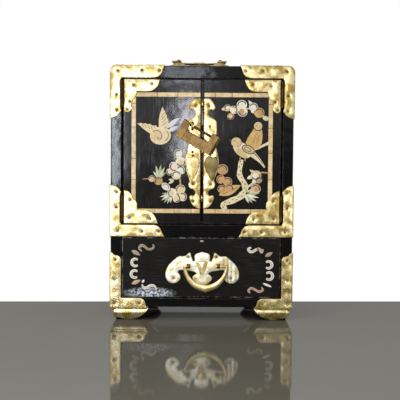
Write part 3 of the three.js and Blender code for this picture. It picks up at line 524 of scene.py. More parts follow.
def slab(mesh, line, y_front, thickness, edge=0.0, segments=2):
    """A plate cut to a line drawn in x and z, with its front edge rounded. Returns its vertices."""
    before = set(mesh.verts)
    face = mesh.faces.new([mesh.verts.new((x, y_front, z)) for x, z in line])
    grown = bmesh.ops.extrude_face_region(mesh, geom=[face])
    moved = [v for v in grown["geom"] if isinstance(v, bmesh.types.BMVert)]
    bmesh.ops.translate(mesh, vec=(0, thickness, 0), verts=moved)
    if edge:
        rounded(mesh, list(face.edges), edge, segments)
    return [v for v in mesh.verts if v not in before]


def score(mesh, verts, pitch):
    """Cuts the plate into small squares, so that it can be dented."""
    others = set(mesh.verts) - set(verts)
    for axis in (0, 2):
        low = min(v.co[axis] for v in verts)
        high = max(v.co[axis] for v in verts)
        normal = Vector([k == axis for k in range(3)])
        for k in range(1, int((high - low) / pitch) + 1):
            near = [v for v in mesh.verts if v not in others]
            edges = {e for v in near for e in v.link_edges}
            faces = {f for v in near for f in v.link_faces}
            bmesh.ops.bisect_plane(
                mesh, geom=[*near, *edges, *faces], dist=1e-4, plane_no=normal,
                plane_co=normal * (low + k * pitch))
    return [v for v in mesh.verts if v not in others]


def nearest_in(line):
    tree = kdtree.KDTree(len(line))
    for i, (x, z) in enumerate(line):
        tree.insert((x, 0, z), i)
    tree.balance()
    return tree


NAIL_STAIN = 2.3
DIMPLE = 2.6
DIMPLE_DEPTH = 0.25
RIM_SHADE = 1.0
WAVE_DEPTH = 0.28
WAVE_SCALE = 0.11
FLAT_RIM = 4


def nail_head(mesh, place, squash, stained_and_shaded=0.0):
    """The domed head of a nail, flattened as told."""
    head = bmesh.ops.create_uvsphere(mesh, u_segments=12, v_segments=7, radius=NAIL_RADIUS)["verts"]
    bmesh.ops.scale(mesh, vec=squash, verts=head)
    bmesh.ops.translate(mesh, vec=place, verts=head)
    darkened_by_stain_and_shade(mesh, head, stained_and_shaded)


def front_nail(mesh, x, y, z):
    nail_head(mesh, (x, y, z), (1, 0.55, 1), 0.85)


def hammered_sheet(mesh, points, nails, pillow=0.25):
    """One plate of sheet brass: rounded edge, pillowed middle, a dimple with a nail in it at each nail."""
    line = bent_line(points)
    verts = score(mesh, slab(mesh, line, SHEET_FRONT, SHEET_THICKNESS, SHEET_EDGE), GRID)
    border = nearest_in(line)
    stain_and_shade_mark = mesh.verts.layers.float["stain_and_shade_mark"]
    for v in verts:
        x, y, z = v.co
        rim = border.find((x, 0, z))[2]
        # Painted shadow line: darker towards the rim.
        dirt_and_shade = 0.7 * math.exp(-((rim / RIM_SHADE) ** 2))
        dent = 0.0
        for nail_x, nail_z in nails:
            away = math.hypot(x - nail_x, z - nail_z)
            dirt_and_shade = max(dirt_and_shade, math.exp(-((away / NAIL_STAIN) ** 4)))
            dent = max(dent, math.exp(-((away / DIMPLE) ** 2)))
        v[stain_and_shade_mark] = min(dirt_and_shade, 1.0)
        if y < SHEET_FRONT + 0.01:
            swell = min(rim / FLAT_RIM, 1.0)
            wave = noise.noise(Vector((x, 7 * SHEET_FRONT, z)) * WAVE_SCALE)
            v.co.y = y - swell * (pillow * (1 - dent) + WAVE_DEPTH * wave - DIMPLE_DEPTH * dent)
    for nail_x, nail_z in nails:
        front_nail(mesh, nail_x, SHEET_FRONT + 0.05, nail_z)


def placed(mesh, x, z, sign_x=1, rear=False):
    """Moves a mount from its own corner to the carcass, mirrored for the right side or the back."""
    turn = Matrix.Diagonal((sign_x, -1 if rear else 1, 1, 1))
    move = Matrix.Translation((x, CARCASS_DEPTH if rear else 0, z))
    bmesh.ops.transform(mesh, matrix=move @ turn, verts=mesh.verts)


CORNER_LEG = 62.2
CORNER_PLATE = [
    (64.4, 1), (62, -4), (60.5, -8), (57, -12.5), (52, -14.4), (12.6, -14.4), (12.6, -16), (11.3, -17),
    (11.3, -49.5), (12.8, -53.5), (8.5, -58.5), (3.5, -61.4), (-1, -CORNER_LEG),
]
CORNER_NAILS = [(8.6, -6), (37, -5.2), (57.4, -5.6), (6.8, -34.5), (7, -52.5)]
NAILS_ALONG_TOP = (20, 44)
NAILS_DOWN_SIDE = (-22, -46)


def beside(path, half):
    """The outline of a strip along a path: its left side, then its right side backwards."""
    left, right = [], []
    for i, point in enumerate(path):
        ahead = Vector(path[min(i + 1, len(path) - 1)]) - Vector(path[max(i - 1, 0)])
        side = Vector((-ahead.y, ahead.x)).normalized() * half
        left.append((point[0] + side.x, point[1] + side.y))
        right.append((point[0] - side.x, point[1] - side.y))
    return left + right[::-1]


def arc(x, z, radius, start, end, steps=8):
    turns = [math.radians(start + (end - start) * i / steps) for i in range(steps + 1)]
    return [(x + radius * math.cos(t), z + radius * math.sin(t)) for t in turns]


def strip_round_corner(mesh, low_end, high_end, radius):
    """The part of a mount that is folded onto the side and, with a radius, over the top of the carcass."""
    half = SHEET_THICKNESS / 2
    mid = -SHEET_FRONT - half
    path = [(-mid, low_end)]
    if radius:
        over_the_corner = arc(radius, -radius, radius + mid, 180, 90)
        path += [(-mid, (low_end - radius) / 2), *over_the_corner, (high_end, mid)]
    else:
        path += [(-mid, high_end)]
    slab(mesh, beside(path, half), SHEET_FRONT + 0.3, WRAP - SHEET_FRONT - 0.3)


def fix_mount(mesh, name, side, sign, height, rear=False):
    """Puts a mount on its corner of the carcass."""
    placed(mesh, -CARCASS_HALF * sign, height, sign, rear)
    dress(mesh, name + "_brass", SHEET_BRASS_LIT_AND_SHADED[side], "root", [name])


def top_mount(side, sign, end):
    mesh = new_mesh()
    round_corner = arc(TOP_CORNER_RADIUS, -TOP_CORNER_RADIUS, TOP_CORNER_RADIUS + 1, 180, 90, 6)
    hammered_sheet(mesh, CORNER_PLATE + round_corner[:-1], CORNER_NAILS)
    strip_round_corner(mesh, -CORNER_LEG + 2, 62.4, TOP_CORNER_RADIUS)
    for x in NAILS_ALONG_TOP:
        nail_head(mesh, (x, WRAP / 2, 1.0), (1, 1, 0.5))
    for z in NAILS_DOWN_SIDE:
        nail_head(mesh, (-0.95, WRAP / 2, z), (0.04, 1, 1))
    fix_mount(mesh, f"{side}_{end}_top_mount", side, sign, CARCASS_TOP, end == "rear")


def middle_mount(side, sign):
    mesh = new_mesh()
    points = [(64.4, 0), *[(x, -z) for x, z in CORNER_PLATE[1:]], (-1, 0)]
    hammered_sheet(mesh, points, [(x, -z + 0.8) for x, z in CORNER_NAILS])
    strip_round_corner(mesh, 0, CORNER_LEG - 2, 0)
    fix_mount(mesh, f"{side}_middle_mount", side, sign, corners("middle_board")[0].z + 0.1)


# Foot mounts. A corner plate that ends in a shoe: there the sheet is beaten into the swell of the foot
# and cut in a sweep along its arms.
SHOE_SWELL = [
    (16.3, -0.4), (14.6, -0.3), (13.2, 0.1), (11, -0.4), (9, -0.5), (7, -0.1), (5, 0.8), (3, 2.2), (1, 3.6),
    (0, 4.8),
]
SHOE_TOP = 16.3
SHOE_PROUD = 1.0
SHOE_SHEET = 0.8
SHOE_CORNER = 3.0
TURN_START, TURN_END = 0.5, 0.6
SIDE_STEP = 15.6
SIDE_STEP_HEIGHT = 3.4
FOOT_SIDE_INSET = 3.6
FRONT_CAP = [(6, 3.4), (11, 1.7), (16, 0.8), (24, 0.8), (30, 1.6), (37, 5.1), (42, 9.5), (45, 14.2)]
SIDE_CAP = [(3, 3.4), (8, 1.7), (12, 0.8), (17, 0.8), (22, 1.6), (29, 5.1), (33, 9.5), (36, 14.2)]
FOOT_PLATE = [
    (-1, -0.6), (45, -0.6), (42.6, 1.4), (41.9, 3.8), (40.6, 7.8), (36.3, 10.8), (12.6, 10.8), (12.6, 56.5),
    (12, 59), (9.5, 61.3), (4.5, 62.6), (1.7, 65.6), (-1, 65.8),
]
FOOT_NAILS = [(4.8, 4), (34.5, 4.4), (6, 57), (4.8, 33)]


def read_off(pairs, at):
    """The value at one place of a table of (place, value), straight between its entries."""
    ordered = sorted(pairs)
    if at <= ordered[0][0]:
        return ordered[0][1]
    for (a, va), (b, vb) in zip(ordered, ordered[1:]):
        if at <= b:
            return va + (vb - va) * (at - a) / (b - a)
    return ordered[-1][1]


def shoe(mesh):
    """A sheet shell round the corner: the front arm, the turn, then the side arm."""
    made = bmesh.ops.create_grid(mesh, x_segments=44, y_segments=14, size=1)["verts"]
    for v in made:
        u, w = (v.co.x + 1) / 2, (v.co.y + 1) / 2
        on_front, on_side = u < TURN_START, u > TURN_END
        along = 1 - u / TURN_START if on_front else max((u - TURN_END) / (1 - TURN_END), 0)
        cap = FRONT_CAP if on_front else SIDE_CAP
        reach = cap[-1][0]
        low = read_off(cap, cap[0][0] + along * (reach - cap[0][0]))
        z = low + (SHOE_TOP - low) * w
        inset = read_off(SHOE_SWELL, z) - SHOE_PROUD
        across = inset + FOOT_SIDE_INSET * min(max((SIDE_STEP - z) / SIDE_STEP_HEIGHT, 0), 1)
        if on_front:
            start = across + SHOE_CORNER
            v.co = (start + along * (reach - start), inset, z)
        elif on_side:
            start = inset + SHOE_CORNER
            v.co = (across, start + along * (reach - start), z)
        else:
            turn = math.radians(90 * (u - TURN_START) / (TURN_END - TURN_START))
            v.co = (across + SHOE_CORNER * (1 - math.sin(turn)),
                    inset + SHOE_CORNER * (1 - math.cos(turn)), z)
    faces = list({f for v in made for f in v.link_faces})
    bmesh.ops.recalc_face_normals(mesh, faces=faces)
    bmesh.ops.solidify(mesh, geom=faces, thickness=SHOE_SHEET)


def foot_mount(side, sign, end):
    mesh = new_mesh()
    shoe(mesh)
    placed(mesh, 0, -FOOT_TOP)
    hammered_sheet(mesh, FOOT_PLATE, FOOT_NAILS)
    strip_round_corner(mesh, -0.6, 62, 0)
    fix_mount(mesh, f"{side}_{end}_foot_mount", side, sign, FOOT_TOP, end == "rear")


for side, sign in SIDES:
    for end in ENDS:
        top_mount(side, sign, end)
        foot_mount(side, sign, end)
    middle_mount(side, sign)

# Doors. Two panels of lacquered wood, hung on butt hinges between the stiles. Their edges are rounded,
# and worn along the line where they meet.
DOOR_BLACK = (0.009, 0.0085, 0.008, 1)
DOOR_RUBBED = (0.034, 0.030, 0.026, 1)
LACQUER_DOOR = lacquer(
    "black lacquer, door", (1, 1, 0.05), (DOOR_BLACK, DOOR_RUBBED, LACQUER_WORN), 0.7, 0.00018, 0.09, 0.24)
for side, sign in SIDES:
    board(f"{side}_door_panel", LACQUER_DOOR, f"{side}_door", 1.3, 4)

# Stone border. Strips of cream soapstone, let into the doors end to end and rubbed almost level. The
# joints between the strips and the line round them have filled with lacquer.
STONE = seen(224, 192, 132)
STONE_DARK = seen(196, 156, 92)
STONE_PALE = seen(242, 222, 176)
BAND_WIDTH = 5.5
BAND_OUTSIDE = 84.0
BAND_TOP = 272.6
BAND_BOTTOM = 128.8
BAND_FRONT = -0.22
BAND_MEETING = 2.2
JOINT = 0.45


def soapstone(name, dark, plain, pale):
    """Cloudy stone with darker veins. The mesh shades each strip a little."""
    material, tree, place = new_material(name)
    veins = patches(tree, place, 160.0, 7.0, 0.45, 0.62)
    body = mixed(tree, patches(tree, place, 45.0, 3.0, 0.4, 0.7), plain, pale)
    colour = mixed(tree, ranged(tree, veins, 0.0, 0.5), body, dark)
    return skinned(material, tree, {
        "Base Color": mixed(tree, 1.0, colour, marked(tree, "tint", "Color"), blend_type="MULTIPLY"),
        "Roughness": ranged(tree, veins, 0.32, 0.5), "Coat Weight": 0.2, "Coat Roughness": 0.25,
        "Normal": relief(tree, place, 90.0, 0.00008, 900.0, 0.000006)})


SOAPSTONE = soapstone("cream soapstone", STONE_DARK, STONE, STONE_PALE)


def tinted(mesh, verts, colour):
    layer = mesh.loops.layers.float_color["tint"]
    for face in {f for v in verts for f in v.link_faces}:
        for loop in face.loops:
            loop[layer] = colour


def strip_run(start, end, lengths):
    """The places where one run of strips is cut, from start to end."""
    cuts = [start]
    for length in lengths:
        if abs(end - cuts[-1]) > length + 6:
            cuts.append(cuts[-1] + length * (1 if end > start else -1))
    return [*cuts, end]


def stone_border(side, sign):
    draw = random.Random(side)
    mesh = new_mesh()
    inside = BAND_OUTSIDE - BAND_WIDTH
    low, high = BAND_BOTTOM + BAND_WIDTH, BAND_TOP - BAND_WIDTH
    runs = []
    for z in (high, BAND_BOTTOM):
        cuts = strip_run(BAND_OUTSIDE, BAND_MEETING, [draw.uniform(17, 31) for _ in range(4)])
        runs += [((b, z), (a, z + BAND_WIDTH)) for a, b in zip(cuts, cuts[1:])]
    cuts = strip_run(low, high, [draw.uniform(24, 40) for _ in range(5)])
    runs += [((inside, a), (BAND_OUTSIDE, b)) for a, b in zip(cuts, cuts[1:])]
    gap = JOINT / 2
    for (x0, z0), (x1, z1) in runs:
        shade = draw.uniform(0.86, 1.1)
        warm = draw.uniform(0.9, 1.0)
        part = bar(mesh, (-(x1 - gap), BAND_FRONT, z0 + gap), (-(x0 + gap), 0.5, z1 - gap), 0.18, 2)
        tinted(mesh, part, (shade, shade * (0.5 + warm / 2), shade * warm, 1))
    placed(mesh, 0, 0, sign)
    node = f"{side}_door_band"
    dress(mesh, node + "_strips", SOAPSTONE, f"{side}_door", [node])


for side, sign in SIDES:
    stone_border(side, sign)

# Brass mounts of the doors: corner plates at the head and foot of the hinge side, and half of a
# baluster-shaped lock plate on each meeting edge.
DOOR_HINGE_X = 94.8
DOOR_TOP_PLATE = [
    (2, -0.3), (44.8, -0.3), (43.6, -4.5), (41.5, -9), (37, -13.4), (30, -14.9), (17.6, -14.9), (15.8, -21),
    (12, -26), (10.9, -31), (11.4, -35.5), (8.4, -39), (5.1, -39.8), (2, -37.5),
]
DOOR_TOP_NAILS = [(13.3, -7.4), (34.8, -5.6), (9, -27), (5.6, -36)]
DOOR_BOTTOM_PLATE = [
    (2, 0.3), (42.5, 0.3), (41, 6), (38, 11), (33.5, 15), (28, 16.6), (18, 16.6), (17.8, 25.5), (13.6, 30.5),
    (11, 35.5), (7, 39), (2, 40.4),
]
DOOR_BOTTOM_NAILS = [(9.6, 28.5), (9, 7.2), (33, 6.2)]
DOOR_PLATES = [("top", DOOR_TOP_PLATE, DOOR_TOP_NAILS), ("bottom", DOOR_BOTTOM_PLATE, DOOR_BOTTOM_NAILS)]
LOCK_PLATE = [
    (1.8, 265.4), (5, 265.9), (9, 265.2), (12, 262.6), (14.5, 258.5), (15.5, 254.3), (13.5, 251.6),
    (10.4, 252), (8, 250), (7.8, 246.5), (10.5, 243.5), (14.5, 241.2), (17, 238), (17.4, 225.6),
    (16.4, 213), (17.5, 205), (19.6, 197), (20.2, 190), (18.8, 180), (15.8, 171.5), (14.8, 168),
    (16, 163.6), (14.5, 159.3), (9, 156.2), (7.6, 152.6), (9.5, 150), (13, 150.8), (14.8, 148.5),
    (13.6, 143.5), (9.9, 137.7), (5.4, 134.9), (1.8, 134.3),
]
LOCK_NAILS = [(10.4, 164), (10.4, 143.6), (7.8, 257)]
LOCK_SHIELD = [
    (3, 190), (4.6, 195), (9, 197.5), (13, 196), (16.8, 197), (19, 192.6), (19.2, 187), (17.6, 180),
    (15.2, 173), (12.4, 166.8), (9.4, 171), (6, 177), (3.8, 183),
]
SHIELD_RISE = 0.75
SHIELD_PILLOW = 0.35
SHIELD_SLOPE = 5
STUD = [(-9.2, 235.5), (-7.4, 232.3), (-9.2, 229.1), (-11, 232.3)]
KEYHOLE_SHADE_DISCS = [(-11.2, 202, 1.7), (-10.6, 197.2, 2.0)]
LOCK_BRASS = sheet_brass("lock plate brass", seen(230, 212, 160), seen(146, 118, 58), BRASS_STAIN_AND_SHADE, 0.3)
# The right shield's darker brass is painted shade.
SHIELD_BRASS_LIT_AND_SHADED = {
    "left": sheet_brass("pale shield brass", seen(214, 198, 146), seen(176, 154, 98), BRASS_STAIN_AND_SHADE, 0.36),
    "right": sheet_brass("shield brass with painted shade", seen(128, 114, 76), seen(100, 86, 50), BRASS_STAIN_AND_SHADE, 0.42),
}


def door_mounts(side, sign):
    low, high = corners(f"{side}_door_panel")
    for level, points, nails in DOOR_PLATES:
        mesh = new_mesh()
        hammered_sheet(mesh, points, nails)
        placed(mesh, -DOOR_HINGE_X * sign, high.z if level == "top" else low.z, sign)
        node = f"{side}_door_{level}_mount"
        dress(mesh, node + "_brass", SHEET_BRASS_LIT_AND_SHADED[side], f"{side}_door", [node])


def lock_shield(side, sign):
    """The raised shield at the belly of the lock plate."""
    mesh = new_mesh()
    line = bent_line([(-d, z) for d, z in LOCK_SHIELD])
    verts = score(mesh, slab(mesh, line, SHEET_FRONT - SHIELD_RISE, 0.7, SHEET_EDGE), GRID)
    border = nearest_in(line)
    stain_and_shade_mark = mesh.verts.layers.float["stain_and_shade_mark"]
    for v in verts:
        rim = border.find((v.co.x, 0, v.co.z))[2]
        # Painted shadow line round the shield's rim.
        v[stain_and_shade_mark] = 0.8 * math.exp(-((rim / 0.8) ** 2))
        if v.co.y < SHEET_FRONT - 0.7:
            v.co.y -= SHIELD_PILLOW * min(rim / SHIELD_SLOPE, 1)
    placed(mesh, 0, 0, sign)
    dress(mesh, f"{side}_lock_shield", SHIELD_BRASS_LIT_AND_SHADED[side], f"{side}_door")


def lock_plate(side, sign):
    mesh = new_mesh()
    hammered_sheet(mesh, [(-d, z) for d, z in LOCK_PLATE], [(-d, z) for d, z in LOCK_NAILS])
    if side == "right":
        diamond_stud(mesh)
    else:
        painted_keyhole_shade(mesh)
    placed(mesh, 0, 0, sign)
    node = f"{side}_lock_plate"
    dress(mesh, node + "_brass", LOCK_BRASS, f"{side}_door", [node])


def diamond_stud(mesh):
    """A small diamond-shaped stud on the right half of the lock plate."""
    darkened_by_stain_and_shade(mesh, slab(mesh, bent_line(STUD), SHEET_FRONT - 1.1, 1.0, 0.5), 0.8)


def painted_keyhole_shade(mesh):
    """Two dark discs on the left half, one above the other: painted shade in the opening for the key."""
    face_forward = Matrix.Rotation(math.radians(90), 4, "X")
    for x, z, radius in KEYHOLE_SHADE_DISCS:
        verts = bmesh.ops.create_cone(
            mesh, cap_ends=True, segments=16, radius1=radius, radius2=radius, depth=0.5)["verts"]
        move = Matrix.Translation((x, SHEET_FRONT - 0.22, z))
        bmesh.ops.transform(mesh, matrix=move @ face_forward, verts=verts)
        # The discs take the darkest stain colour: painted shade, not brass.
        darkened_by_stain_and_shade(mesh, verts, 3.0)


for side, sign in SIDES:
    door_mounts(side, sign)
    lock_plate(side, sign)
    lock_shield(side, sign)

# Butt hinges. The frame leaf has the pin and two knuckles, the door leaf the middle one. Both leaves
# are let into the wood, so that only the knuckles show, in dull aged brass painted darker as the shade of
# their gap.
HINGE_BRASS_GAP_SHADE = sheet_brass("hinge brass in painted gap shade", seen(84, 60, 32), seen(50, 36, 20), seen(26, 18, 10), 0.4)
for side, sign in SIDES:
    for level in ["upper", "lower"]:
        for part in ["frame", "door"]:
            coated(f"{side}_{level}_hinge_{part}_leaf", HINGE_BRASS_GAP_SHADE)

# Pictures. Tiles of mother-of-pearl, soapstone and tinted bone, cut to shape, glued on the lacquer and
# engraved. Each tile is a flat cushion; the engraved lines are filled with dark lacquer.
TILE_TOP = -0.62
TILE_BACK = -0.02
PEARL = seen(240, 232, 208)
CREAM = seen(234, 212, 162)
PEACH = seen(226, 192, 136)
TAN = seen(190, 146, 76)
ROSE = seen(196, 152, 104)
GOLD = seen(212, 168, 84)
PALE_LEAF = seen(206, 212, 176)
GREEN_LEAF = seen(168, 180, 128)
BARK = seen(234, 218, 168)
LILAC = seen(226, 222, 232)
ORANGE = seen(204, 150, 80)
BLUSH = seen(236, 214, 198)
GOLD_PALE = seen(216, 186, 124)
INK = (0.006, 0.004, 0.003, 1)


def carved_inlay(name):
    """Shell or stone in the colour that the mesh carries, cloudy, with a faint layered sheen."""
    material, tree, place = new_material(name)
    clouds = cloud(tree, place, 210.0, 4.0)
    shade = put(tree, "ShaderNodeHueSaturation", {
        "Color": marked(tree, "tint", "Color"), "Value": ranged(tree, clouds, 0.72, 1.28),
        "Saturation": ranged(tree, clouds, 1.2, 0.8)})
    layers = put(tree, "ShaderNodeTexWave", {
        "Vector": place, "Scale": 160.0, "Distortion": 9.0, "Detail": 3.0, "Detail Scale": 1.5,
    }).outputs["Fac"]
    return skinned(material, tree, {
        "Base Color": mixed(tree, ranged(tree, layers, 0.0, 0.16), shade.outputs[0], seen(250, 244, 236)),
        "Roughness": ranged(tree, layers, 0.3, 0.45), "Specular IOR Level": 0.3,
        "Normal": relief(tree, place, 240.0, 0.00012, 1500.0, 0.000008)})


INLAY = carved_inlay("carved inlay")


def tile(mesh, points, colour, lift=0.0, edge=0.28):
    """One flat cushion cut to a closed line of points."""
    made = slab(mesh, [Vector(p) for p in points], TILE_TOP - lift, TILE_BACK - TILE_TOP + lift, edge, 2)
    tinted(mesh, made, colour)


def oval(x, z, length, width, degrees=0.0, steps=18):
    turn = Matrix.Rotation(math.radians(degrees), 2)
    ring = [turn @ Vector((length / 2 * math.cos(t), width / 2 * math.sin(t)))
            for t in (2 * math.pi * i / steps for i in range(steps))]
    return [(x + p.x, z + p.y) for p in ring]


def pointed(x, z, length, width, degrees, fullest=0.45, steps=7):
    """A leaf or feather from its root at (x, z): pointed at both ends, widest at the given share."""
    turn = Matrix.Rotation(math.radians(degrees), 2)
    power = math.log(0.5) / math.log(fullest)
    upper = [(s / steps, width / 2 * math.sin(math.pi * (s / steps) ** power)) for s in range(steps + 1)]
    line = [*upper, *[(s, -w) for s, w in reversed(upper[1:-1])]]
    return [(x + p.x, z + p.y) for p in (turn @ Vector((s * length, w)) for s, w in line)]


def engraved(mesh, points, width, lift):
    """A dark line cut along a few points."""
    tinted(mesh, slab(mesh, beside(points, width / 2), TILE_TOP - lift, 0.2), INK)


def engraved_ring(mesh, x, z, length, width, degrees, share, lift, line=0.8):
    ring = oval(x, z, length, width, degrees, 20)
    keep = ring[: max(3, round(len(ring) * share)) + 1]
    engraved(mesh, keep if share < 1 else [*ring, ring[0]], line, lift)


def on_line(points, t):
    """The place and direction at a share t of a smooth line through the points."""
    count = len(points) - 1
    place = min(max(t, 0.0), 1.0) * count
    i = min(int(place), count - 1)
    f = place - i
    a, b = Vector(points[i]), Vector(points[i + 1])
    before = Vector(points[i - 1]) if i else a * 2 - b
    after = Vector(points[i + 2]) if i + 2 <= count else b * 2 - a
    leave, arrive = (b - before) / 2, (after - a) / 2
    way = (a * (6 * f**2 - 6 * f) + leave * (3 * f**2 - 4 * f + 1)
           + b * (6 * f - 6 * f**2) + arrive * (3 * f**2 - 2 * f))
    return smooth(a, leave, b, arrive, f), way.normalized()


def ribbon(points, widths, steps=14):
    """The outline of a band of changing width along a smooth line."""
    left, right = [], []
    for k in range(steps + 1):
        t = k / steps
        spot, way = on_line(points, t)
        half = read_off(list(zip([i / (len(widths) - 1) for i in range(len(widths))], widths)), t) / 2
        left.append(spot + Vector((-way.y, way.x)) * half)
        right.append(spot + Vector((way.y, -way.x)) * half)
    return [(p.x, p.y) for p in [*left, *reversed(right)]]


def rosebud(mesh, x, z, radius, colour, lift, turn=0.0, heart=None):
    """A round bud with one petal folded over another."""
    tile(mesh, oval(x, z, radius * 2, radius * 1.9, turn), colour, lift)
    engraved_ring(mesh, x, z, radius * 1.5, radius * 1.4, turn, 0.5, lift + 0.14, 1.3)
    if heart:
        angle = math.radians(turn)
        middle = (x + radius * 0.12 * math.cos(angle), z + radius * 0.12 * math.sin(angle))
        tile(mesh, oval(*middle, radius * 1.1, radius * 1.1), heart, lift + 0.1)


def rosebuds(mesh, buds):
    for bud in buds:
        rosebud(mesh, *bud)


def leaf_fan(mesh, x, z, sprays, colours):
    """Narrow pointed leaves that leave one root: each is a direction, a length and a width."""
    for i, (degrees, length, width) in enumerate(sprays):
        tile(mesh, pointed(x, z, length, width, degrees), colours[i % len(colours)], 0.04 * (i % 3), 0.2)


def picture(mesh, name, body, replaced=()):
    dress(mesh, name, INLAY, body, replaced, 30)


def flying_bird():
    """On the left door: a pale bird that dives to the left, wings up. Hatching is cut across each wing."""
    mesh = new_mesh()
    tile(mesh, pointed(-43, 230, 21, 6, 38), LILAC, 0.0, 0.3)
    tile(mesh, pointed(-41, 226, 15, 5.4, 27), LILAC, 0.06, 0.3)
    tile(mesh, [(-77.6, 236), (-74.4, 235.4), (-72.8, 236.4), (-70, 235.2), (-67.6, 236), (-64.8, 234.4),
                (-62, 235.2), (-59.2, 233.2), (-55, 233.4), (-51, 228), (-56, 225), (-62.4, 223.8),
                (-66, 226.4), (-70, 229.2), (-74, 233)], CREAM, 0.08, 0.3)
    for i in range(5):
        engraved(mesh, [(-71.6 + i * 3.6, 234.6 - i * 0.6), (-69.0 + i * 3.4, 231.0 - i * 0.9)], 0.5, 0.14)
    tile(mesh, [(-51.6, 230), (-51.6, 240), (-50, 248), (-47.2, 255.8), (-45.4, 251.4), (-44, 250.4),
                (-43.4, 246.8), (-41.8, 245.6), (-41.8, 242), (-40.2, 240.6), (-39.4, 232)], CREAM, 0.1, 0.3)
    for i in range(4):
        engraved(mesh, [(-44.4 + i * 0.9, 249 - i * 3.6), (-49.4 + i * 0.7, 243.4 - i * 3.4)], 0.5, 0.16)
    tile(mesh, oval(-49.4, 221.2, 25.4, 21.6, 8), CREAM, 0.18, 0.5)
    tile(mesh, oval(-54.2, 221.2, 13.6, 13.4), PEACH, 0.26, 0.45)
    engraved_ring(mesh, -54.0, 221.4, 12.6, 12.2, 300, 0.55, 0.33)
    engraved_ring(mesh, -47.4, 221.0, 13.4, 15.6, 300, 0.3, 0.25)
    tile(mesh, oval(-52.2, 218.4, 1.9, 1.9), INK, 0.36, 0.1)
    engraved(mesh, [(-57.6, 214.4), (-55.8, 213)], 0.6, 0.26)
    picture(mesh, "left_flying_bird", "left_door", ["left_bird_inlay"])


def left_sprig():
    """A short branch with buds, an open white flower and spiky leaves, low on the left door."""
    mesh = new_mesh()
    branch = [(-70.5, 169.4), (-60, 170), (-50, 167.4), (-41, 159.4), (-33, 152.6)]
    tile(mesh, ribbon(branch, [0.8, 1.5, 2, 2.4]), TAN)
    rosebuds(mesh, [(-59.4, 170, 4.2, PEACH, 0.1), (-51.6, 167.4, 5.1, TAN, 0.2, 40)])
    tile(mesh, oval(-42.8, 160.6, 11.4, 8.2, -36), PEARL, 0.24, 0.4)
    engraved_ring(mesh, -42.8, 160.6, 8.2, 5.4, -36, 0.6, 0.3)
    leaf_fan(mesh, -51, 170.5, [(104, 16, 3), (82, 17, 3.4), (63, 15, 3.2), (130, 11, 3), (42, 11, 3)],
             [PALE_LEAF, GREEN_LEAF, PALE_LEAF])
    picture(mesh, "left_sprig", "left_door", ["left_blossom_inlay"])


def left_blossoms():
    """Pale blossoms beside the lock plate, and more at the foot among thin leaves."""
    mesh = new_mesh()
    stem = [(-27, 152), (-25.4, 164), (-27.4, 178), (-26.4, 196), (-25.4, 206)]
    tile(mesh, ribbon(stem, [2.4, 2, 1.6, 1.2]), TAN)
    thin_leaves = [(196, 14, 2.6), (214, 14, 2.6), (232, 14, 2.8), (250, 13, 2.6), (268, 11, 2.6),
                   (178, 11, 2.4)]
    leaf_fan(mesh, -36.5, 152, thin_leaves, [PALE_LEAF, PEARL, GREEN_LEAF])
    rosebuds(mesh, [
        (-28.3, 199.8, 5.6, PEARL, 0.1, 60),
        (-25.2, 190.0, 6.2, PEARL, 0.16, 200, CREAM),
        (-33.2, 184.4, 6.0, BLUSH, 0.22, 120),
        (-25.2, 180.6, 5.4, PEARL, 0.12, 330),
        (-30.4, 174.4, 5.6, CREAM, 0.26, 20, PEARL),
        (-38.2, 178.2, 4.4, CREAM, 0.1, 150),
        (-35.4, 152.8, 6.0, PEARL, 0.24, 100, CREAM),
        (-25.4, 157.4, 6.0, CREAM, 0.14, 30),
        (-22.8, 148.6, 5.4, BLUSH, 0.2, 300, CREAM),
        (-29.8, 146.6, 5.0, CREAM, 0.28, 250),
    ])
    leaf_fan(mesh, -33, 168, [(210, 8, 3), (168, 7, 3)], [CREAM, PALE_LEAF])
    picture(mesh, "left_blossoms", "left_door")


def upper_spray():
    """A blossoming branch across the head of the right door."""
    mesh = new_mesh()
    branch = [(26, 253.5), (36, 251.5), (48, 253.6), (60, 253.5), (68, 249), (75.4, 242.4)]
    tile(mesh, ribbon(branch, [0.8, 1.2, 1.6, 2.0], 20), BARK)
    tile(mesh, pointed(22.6, 252.6, 8.6, 4.4, 14), CREAM, 0.08)
    rosebuds(mesh, [
        (29.8, 254.6, 4.3, PEACH, 0.15, 40, PEARL),
        (33.8, 244.6, 4.3, ORANGE, 0.2, 200, CREAM),
        (37.4, 252.4, 4.9, PEARL, 0.24, 300),
        (47.6, 250.2, 6.1, PEARL, 0.2, 170, ORANGE),
        (46.8, 258.2, 6.2, PEARL, 0.3, 10),
        (60.6, 255.8, 5.4, PEARL, 0.26, 340),
        (67.4, 249.2, 6.3, GOLD, 0.2, 330, ORANGE),
    ])
    tile(mesh, pointed(41.6, 252.6, 8, 3.4, 68), PALE_LEAF, 0.1)
    tile(mesh, pointed(60, 256, 9.6, 4, 124), PEARL, 0.1)
    tile(mesh, oval(60.4, 250.6, 5.6, 4.2), PEARL, 0.2)
    tile(mesh, oval(75.2, 242.6, 7.6, 5.6, -20), BARK, 0.16, 0.4)
    picture(mesh, "right_upper_spray", "right_door", ["right_blossom_inlay"])


